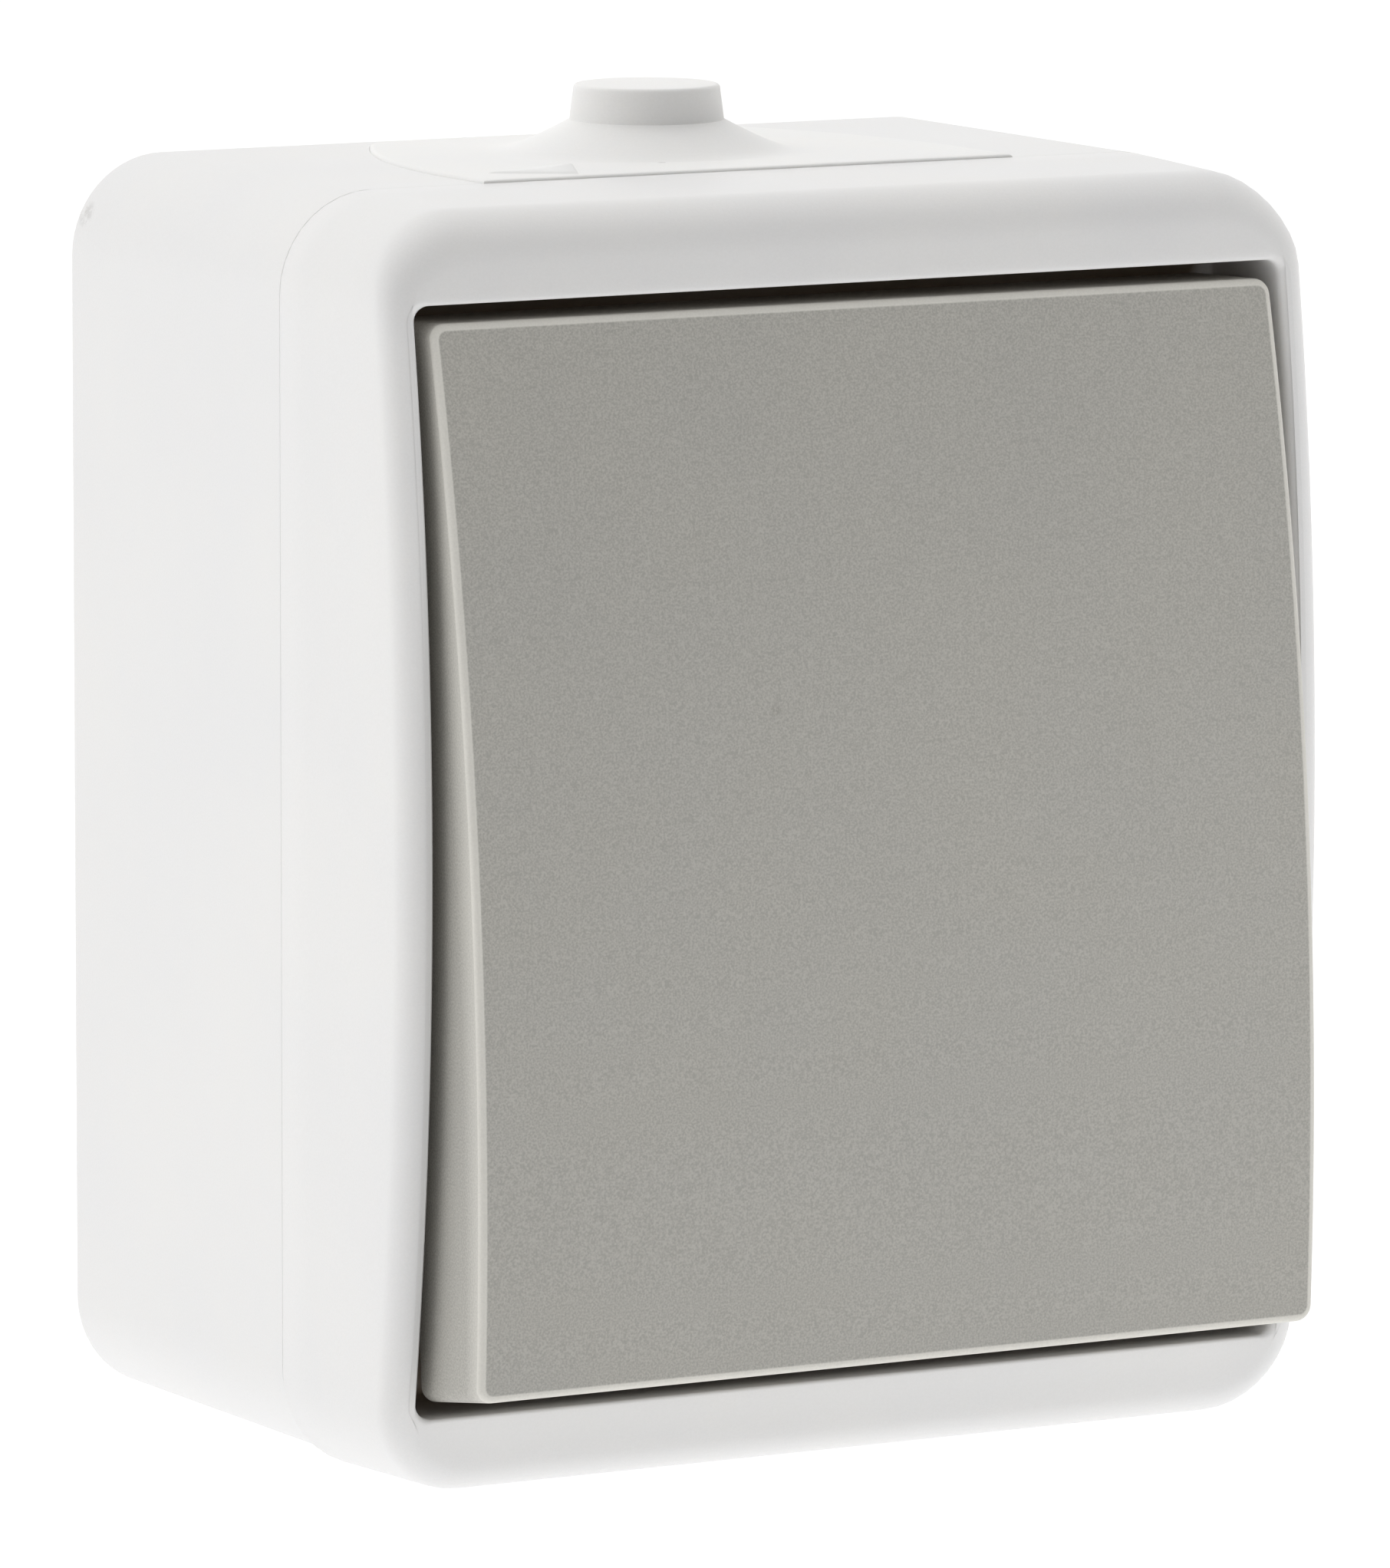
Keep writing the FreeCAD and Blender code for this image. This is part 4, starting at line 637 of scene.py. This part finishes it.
def rocker_surface(edge):
    """The rocker from its inner middle over the rear rim to the middle of its face, drawn level.

    Each ring is a rounded rectangle. Inside and outside faces have the crest's depth less the arch;
    the last and first rings shrink to a point. The end walls flare to the rear, so that they keep
    their distance from the opening as the rocker swings, and the whole hangs a little low in its clips.
    """
    width, height, radius = ROCKER
    outside = ring(*ROCKER, -ROCKER_SAG)
    inside = ring(width - ROCKER_WALL, height - ROCKER_WALL, radius * 0.5, -ROCKER_SAG)
    flared = ring(width, height + ROCKER_FLARE, radius, -ROCKER_SAG)

    def outer_depth(plan):
        return ROCKER_CREST - arch(plan[:, 1])

    def inner_depth(plan):
        return ROCKER_CREST - ROCKER_WALL - arch(plan[:, 1])

    soft = ROCKER_REAR_EDGE
    ceiling = inside - OUTWARD * soft
    band = [raised(plan, inner_depth(plan)) for plan in between(ceiling * 0, ceiling, 10)]
    wall_top = raised(inside, inner_depth(inside) - soft)
    band += turned_edge(band[-1], wall_top, raised(inside, inner_depth(inside)), 3)[1:]
    rear_inside, rear_outside = raised(inside, ROCKER_REAR), raised(flared - OUTWARD * soft, ROCKER_REAR)
    band += between(wall_top, rear_inside, 3, False) + [rear_inside]
    rear_side = raised(flared, ROCKER_REAR + soft)
    band += turned_edge(rear_outside, rear_side, raised(flared, ROCKER_REAR), 3)
    brow = outside - OUTWARD * edge
    shoulder = raised(outside, outer_depth(outside) - edge)
    band += between(rear_side, shoulder, 4, False)
    # Painted highlight: the rings of the rounded edge get shares of a lighter colour
    rim = {len(band) + step: share for step, share in enumerate(RIM_HIGHLIGHT_SHARES)}
    band += turned_edge(shoulder, raised(brow, outer_depth(brow)), raised(outside, outer_depth(outside)), 7)
    flat = brow - OUTWARD * ROCKER_BORDER
    band += [raised(plan, outer_depth(plan)) for plan in between(flat, flat * 0, 14)]
    return tipped(np.array(band)), rim


def bar(width, height, across, up, low, high):
    """Straight bar towards the user, closed at both ends: a rectangle about a spot between two depths."""
    spot = np.array((across, up))
    plan = ring(width / 2, height / 2, BAR_CORNER) + spot
    rows = ((0, low), (1, low), (1, high), (0, high))
    return tipped(np.array([raised(spot + (plan - spot) * size, depth) for size, depth in rows]))


def rocker_ribs():
    """Ribs and clip legs behind the rocker's face, each one bar."""
    inner, hook_rear = ROCKER_CREST - ROCKER_WALL, PLATFORM_REAR - HOOK
    wide, high = PLATFORM
    leg, leg_height, leg_up = LEG
    bars = []
    for side in (-1, 1):
        bars.append(bar(RIB, 2 * high, side * RIB_ACROSS, 0, inner - RIB_RISE, inner))
        bars.append(bar(wide - 2 * leg, RIB, 0, side * (high / 2 - RIB),
                        PLATFORM_REAR + PLATFORM_WALL, inner))
        for up in (-leg_up, leg_up):
            bars.append(bar(leg, leg_height, side * (wide + leg) / 2, up, hook_rear, inner))
            bars.append(bar(HOOK, leg_height, side * (wide - HOOK) / 2, up, hook_rear, PLATFORM_REAR))
    return bars


class SWITCH_OT_rocker(bpy.types.Operator):
    """Rocker: wide arched key in grained grey plastic"""

    bl_idname = "switch.rocker"
    bl_label = "Rocker"

    def execute(self, context):
        # Painted highlight: a lighter copy of the rocker's colour along its rounded edge
        material = moulded("rocker_grey", finishes().rocker, finishes().grain, 0.00003, 0.55,
                           marks=marks_at(ROCKER_SPECKS, FAINT_SPECK), speckle=0.22,
                           tint=shade(finishes().rocker, 1.7))
        surface, rim = rocker_surface(forms().rocker_edge)
        piece = skin("rocker_key", [(surface, False)] + [(shape, False) for shape in rocker_ribs()], rim)
        place(piece, "rocker", material, "rocker_grey")
        return {"FINISHED"}


def plate_outline(inset=0.0, shelf=0.0, corner=3.0 * MM):
    """Walk round the membrane's plate: straight along the parting line, arcs that draw in to the back.

    Each side arc starts square to the parting line and has the radius (w * w + l * l) / (2 * w) for its
    drawing in w over its length l. The back corners are circles that touch the side arc and the back line.
    """
    front, turn, back = -PARTING + inset + shelf, -PARTING + PLATE_STRAIGHT, plate_high[1] - inset
    wide, narrow = plate_high[0] - inset, PLATE_BACK / 2 - inset
    drawn, length = wide - narrow, back - turn
    radius = (drawn ** 2 + length ** 2) / (2 * drawn)
    centre = wide - radius
    rise = back - corner - turn
    corner_x = centre + math.sqrt((radius - corner) ** 2 - rise ** 2)
    touch = math.atan2(rise, corner_x - centre)
    side = np.linspace(0, touch, 22)
    bend = np.linspace(touch, math.pi / 2, 9)[1:]
    across = np.concatenate(([wide] * 4, centre + radius * np.cos(side), corner_x + corner * np.cos(bend)))
    along = np.concatenate((np.linspace(front, turn, 5)[:-1], turn + radius * np.sin(side),
                            turn + rise + corner * np.sin(bend)))
    half = np.stack((across, along), 1)
    back_edge = np.stack((np.linspace(half[-1, 0], -half[-1, 0], 16)[1:-1], np.full(14, back)), 1)
    front_edge = np.stack((np.linspace(-wide, wide, 26)[1:-1], np.full(24, front)), 1)
    return np.concatenate((half, back_edge, half[::-1] * (-1, 1), front_edge))


def membrane_surface(soft):
    """The membrane from the ceiling of its bore down, round the flange and plate, and up over the nipple.

    Rings round the plate follow its outline; rings round the nipple are circles, each point of which
    lies in the same direction from the nipple's axis as its fellow on the outline. The cone between them
    is slightly hollow: its radius falls with the 0.8th power of the height.
    """
    outline, neck = plate_outline(-PLATE_SWELL), plate_outline(PLATE_NECK, PLATE_SHELF - PLATE_NECK)
    flange = plate_outline(PLATE_NECK / 2, PLATE_SHELF - PLATE_NECK)
    angles = np.arctan2(outline[:, 1] + NIPPLE_DEPTH, outline[:, 0] - NIPPLE_ACROSS)
    circle = np.stack((np.cos(angles), np.sin(angles)), 1)

    def round_ring(radius, height):
        return level(circle * radius + (NIPPLE_ACROSS, -NIPPLE_DEPTH), height)

    def level(plan, height):
        return np.column_stack((plan, np.full(len(plan), height)))
    top, seat, low, under = PLATE_TOP, PLATE_TOP - PLATE_THICKNESS, plate_low[2], plate_low[2] + FLANGE
    crown, ceiling = plate_high[2], plate_high[2] - NIPPLE_WALL
    waist, rim = NIPPLE_WAIST, NIPPLE_TOP
    bore = rim - NIPPLE_WALL
    band = [round_ring(0, ceiling), round_ring(bore, ceiling), round_ring(bore, low), level(flange, low),
            level(flange, under), level(neck, under), level(neck, seat)]
    inner = plate_outline(soft - PLATE_SWELL)
    band += turned_edge(level(inner, seat), level(outline, seat + soft), level(outline, seat), 3)
    band += turned_edge(level(outline, top - soft), level(inner, top), level(outline, top), 4)
    foot = round_ring(NIPPLE_FOOT, top)
    band += between(level(inner, top), foot, 6, False)
    height = np.linspace(0, 1, 10)
    cone = NIPPLE_FOOT + (waist - NIPPLE_FOOT) * height ** 0.8
    band += [round_ring(radius, top + CONE_RISE * share) for radius, share in zip(cone, height)]
    shoulder = round_ring(rim, crown - 1.2 * soft)
    band += between(band[-1], shoulder, 3, False)
    band += turned_edge(shoulder, round_ring(rim - soft, crown - 0.2 * soft),
                        round_ring(rim, crown - 0.2 * soft), 5)
    share = np.linspace(1, 0, 7)[1:]
    band += [round_ring((rim - soft) * at, crown - 0.2 * soft * at ** 2) for at in share]
    return np.array(band)


def pointer():
    """Small raised three-cornered mark on the plate: one outline lofted up and closed by its middle."""
    corners = np.array(POINTER)
    middle = corners.mean(0)
    sides = [np.linspace(start, end, 7)[:-1] for start, end in zip(corners, np.roll(corners, -1, 0))]
    outline = np.concatenate(sides)
    rows = ((0.0, POINTER_FOOT), (1.0, POINTER_FOOT), (1.0, 0.0), (POINTER_DRAFT, POINTER_RISE),
            (0.0, POINTER_RISE))
    return np.array([np.column_stack((middle + (outline - middle) * size,
                                      np.full(len(outline), PLATE_TOP + rise))) for size, rise in rows])


class SWITCH_OT_membrane(bpy.types.Operator):
    """Cable membrane: white rubber plate with its closed nipple"""

    bl_idname = "switch.membrane"
    bl_label = "Cable membrane"

    def execute(self, context):
        material = moulded("membrane_rubber", finishes().membrane, finishes().grain, 0.000004, 0.5,
                           marks=marks_at(MEMBRANE_SPECKS, SPECK), soft=0.12)
        surfaces = [(membrane_surface(MEMBRANE_EDGE), False), (pointer(), False)]
        piece = skin("cable_membrane_moulding", surfaces)
        place(piece, "cable_membrane", material, "membrane_rubber")
        return {"FINISHED"}


class SWITCH_OT_seals(bpy.types.Operator):
    """Seals: rim seal, rings under the frame screws and the boot over the turret"""

    bl_idname = "switch.seals"
    bl_label = "Seals and boot"

    def execute(self, context):
        material = moulded("seal_rubber", finishes().seal, finishes().grain, 0.00001, 0.7, mottle=0.15)
        for node in ("rim_seal", "screw_seals", "rocker_boot"):
            place(rounded_copy(node, 0.0002), node, material, "seal_rubber")
        return {"FINISHED"}


class SWITCH_OT_mechanism(bpy.types.Operator):
    """Mechanism mouldings: base, cover, carrier and plunger"""

    bl_idname = "switch.mechanism"
    bl_label = "Mechanism"

    def execute(self, context):
        grain = finishes().grain
        body = moulded("mechanism_plastic", finishes().mechanism, grain, 0.00001, 0.5, mottle=0.05)
        light = moulded("carrier_plastic", finishes().carrier, grain, 0.00001, 0.45, mottle=0.05)
        for node in ("mechanism_base", "mechanism_cover"):
            place(rounded_copy(node, 0.00015), node, body, "mechanism_plastic")
        for node in ("rocker_carrier", "plunger"):
            place(rounded_copy(node, 0.0001), node, light, "carrier_plastic")
        return {"FINISHED"}


class SWITCH_OT_contacts(bpy.types.Operator):
    """Contacts: copper strips and lever, silver rivets and brass blocks"""

    bl_idname = "switch.contacts"
    bl_label = "Contacts"

    def execute(self, context):
        copper = metal("strip_copper", (0.72, 0.40, 0.24), 0.0002, 0.32)
        silver = metal("contact_silver", (0.80, 0.79, 0.76), 0.0002, 0.25)
        brass = metal("block_brass", (0.72, 0.55, 0.25), 0.0003, 0.35)
        for node in ("common_terminal", "switched_terminal", "contact_lever"):
            place(rounded_copy(node, 0.00008), node, copper, "strip_copper")
        for node in ("fixed_contact", "moving_contact"):
            place(rounded_copy(node, 0.0001), node, silver, "contact_silver")
        place(rounded_copy("terminal_blocks", 0.0002), "terminal_blocks", brass, "block_brass")
        return {"FINISHED"}


def coil_surface(around=12, per_turn=28):
    """Round wire along a helix about the plunger: centre + wire * (cos * outward + sin * along).

    The rings at both ends shrink to a point and close the wire.
    """
    count = int(per_turn * SPRING_TURNS) + 1
    turn = np.linspace(0, 2 * math.pi * SPRING_TURNS, count)
    ahead = np.linspace(SPRING_SPAN[1], SPRING_SPAN[0], count)
    outward = np.stack((np.sin(turn), np.zeros(count), np.cos(turn)), 1)
    centre = outward * SPRING_RADIUS + np.stack((np.zeros(count), ahead, np.zeros(count)), 1)
    angles = np.linspace(0, 2 * math.pi, around, endpoint=False)
    reach = SPRING_WIRE * np.ones(count)
    grid = centre[:, None] + reach[:, None, None] * (np.cos(angles)[None, :, None] * outward[:, None]
                                                     + np.sin(angles)[None, :, None] * np.array((0, 1, 0)))
    ends = [np.repeat(centre[index][None, None], around, 1) for index in (0, -1)]
    return tipped(np.concatenate((ends[0], grid, ends[1])))


class SWITCH_OT_fasteners(bpy.types.Operator):
    """Screws and the plunger's spring"""

    bl_idname = "switch.fasteners"
    bl_label = "Screws and spring"

    def execute(self, context):
        zinc = metal("screw_steel", (0.62, 0.62, 0.60), 0.0002, 0.33)
        wire = metal("spring_steel", (0.50, 0.50, 0.50), 0.0002, 0.28)
        for node in ("frame_screws", "mechanism_screws", "terminal_screws"):
            place(rounded_copy(node, 0.0001), node, zinc, "screw_steel")
        coil = skin("plunger_spring_coil", [(coil_surface(), False)])
        place(coil, "plunger_spring", wire, "spring_steel")
        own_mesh(coil)
        return {"FINISHED"}


class SWITCH_OT_stage(bpy.types.Operator):
    """Stage: pale floor that sweeps up behind, soft lights and the camera"""

    bl_idname = "switch.stage"
    bl_label = "Stage"

    def execute(self, context):
        studio = context.scene.switch_studio
        sweep(cad_box[0].z, studio.floor_glow)
        for name, spot, size, power in LAMPS:
            lamp(name, spot, size, getattr(studio, power))
        context.scene.world = surround(studio.surround, studio.front_surround)
        context.scene.view_settings.view_transform = "Standard"
        camera(studio.lens)
        return {"FINISHED"}


def surround(strength, front_strength):
    """White tent with a dimmer opening in front: the brightness depends on the direction alone."""
    world = bpy.data.worlds.new("surround")
    world.use_nodes = True
    nodes, links = world.node_tree.nodes, world.node_tree.links
    background = nodes["Background"]
    background.inputs["Color"].default_value = (1.0, 0.995, 0.985, 1)
    direction = nodes.new("ShaderNodeTexCoord")
    ahead = nodes.new("ShaderNodeVectorMath")
    ahead.operation = "DOT_PRODUCT"
    ahead.inputs[1].default_value = FRONT
    dim = nodes.new("ShaderNodeMapRange")
    dim.interpolation_type = "SMOOTHSTEP"
    for socket, value in zip(RANGE_SOCKETS, (FRONT_EDGE, FRONT_HEART, strength, front_strength)):
        dim.inputs[socket].default_value = value
    links.new(direction.outputs["Generated"], ahead.inputs[0])
    links.new(ahead.outputs["Value"], dim.inputs["Value"])
    links.new(dim.outputs["Result"], background.inputs["Strength"])
    return world


def sweep(floor_height, glow):
    """Floor and backdrop in one sheet: a straight run, a quarter turn and an upright, all swept along X."""
    turn = np.linspace(0, math.pi / 2, 17)
    bend_depth = FLOOR_REACH - FLOOR_BEND + FLOOR_BEND * np.sin(turn)
    depth = np.concatenate(([FLOOR_FRONT], bend_depth, [FLOOR_REACH]))
    height = np.concatenate(([0.0], FLOOR_BEND - FLOOR_BEND * np.cos(turn), [FLOOR_RISE])) + floor_height
    across = np.array([-FLOOR_SIDE, FLOOR_SIDE])
    grid = np.stack([np.stack((np.full_like(depth, x), depth, height), -1) for x in across], 1)
    mesh = bpy.data.meshes.new("floor")
    count = len(depth)
    rows = np.arange(count - 1)[:, None] * 2
    faces = (rows + np.array([[0, 1, 3, 2]])).tolist()
    mesh.from_pydata(grid.reshape(-1, 3).tolist(), [], faces)
    mesh.shade_smooth()
    made = bpy.data.objects.new("floor", mesh)
    bpy.context.scene.collection.objects.link(made)
    recipe = Recipe("floor_paper")
    recipe.join(recipe.mixed(recipe.noise(0.3, 2.0), (0.12, 0.12, 0.12), (0.10, 0.10, 0.10)),
                recipe.shader.inputs["Base Color"])
    recipe.join(recipe.bump(recipe.noise(0.002, 3.0), 0.00002), recipe.shader.inputs["Normal"])
    recipe.set(Roughness=0.85, Emission_Color=(1.0, 1.0, 1.0, 1.0), Emission_Strength=glow)
    made.data.materials.append(recipe.material)
    return made


def lamp(name, spot, size, power):
    """Square soft light that faces the object."""
    data = bpy.data.lights.new(name, "AREA")
    data.size, data.energy = size, power
    made = bpy.data.objects.new(name, data)
    made.location = spot
    made.rotation_euler = (-Vector(spot)).to_track_quat("-Z", "Y").to_euler()
    bpy.context.scene.collection.objects.link(made)
    return made


def camera(lens):
    """Camera at the picture's own place."""
    data = bpy.data.cameras.new("camera")
    data.lens, data.sensor_width, data.sensor_fit = lens, 36.0, "AUTO"
    data.clip_start, data.clip_end = 0.01, 20.0
    made = bpy.data.objects.new("camera", data)
    yaw, pitch, roll = (math.radians(angle) for angle in (CAMERA_YAW, CAMERA_PITCH, CAMERA_ROLL))
    turned = Matrix.Rotation(-yaw, 4, "Z") @ Matrix.Rotation(math.pi / 2 - pitch, 4, "X")
    made.matrix_world = Matrix.Translation(CAMERA_SPOT) @ turned @ Matrix.Rotation(roll, 4, "Z")
    bpy.context.scene.collection.objects.link(made)
    bpy.context.scene.camera = made
    return made


class SWITCH_PT_panel(bpy.types.Panel):
    """Lists the steps that dress the switch"""

    bl_idname = "SWITCH_PT_panel"
    bl_label = "Outdoor switch"
    bl_space_type = "VIEW_3D"
    bl_region_type = "UI"
    bl_category = "Switch"

    def draw(self, context):
        for owner in GROUPS:
            group = getattr(context.scene, owner)
            for name in group.bl_rna.properties.keys():
                if name not in ("rna_type", "name"):
                    self.layout.prop(group, name)
        for step in STEPS:
            self.layout.operator(step.bl_idname)


STEPS = (
    SWITCH_OT_back_box,
    SWITCH_OT_front_frame,
    SWITCH_OT_rocker,
    SWITCH_OT_membrane,
    SWITCH_OT_seals,
    SWITCH_OT_mechanism,
    SWITCH_OT_contacts,
    SWITCH_OT_fasteners,
    SWITCH_OT_stage,
)
GROUPS = {"switch_finishes": SwitchFinishes, "switch_forms": SwitchForms, "switch_studio": SwitchStudio}


def register():
    for group in GROUPS.values():
        bpy.utils.register_class(group)
    for name, group in GROUPS.items():
        setattr(bpy.types.Scene, name, bpy.props.PointerProperty(type=group))
    for step in STEPS:
        bpy.utils.register_class(step)
    bpy.utils.register_class(SWITCH_PT_panel)


def unregister():
    bpy.utils.unregister_class(SWITCH_PT_panel)
    for step in reversed(STEPS):
        bpy.utils.unregister_class(step)
    for name, group in GROUPS.items():
        delattr(bpy.types.Scene, name)
        bpy.utils.unregister_class(group)


def main():
    """Dresses the switch piece by piece."""
    register()
    for step in STEPS:
        group, name = step.bl_idname.split(".")
        getattr(getattr(bpy.ops, group), name)()


if __name__ == "__main__":
    main()
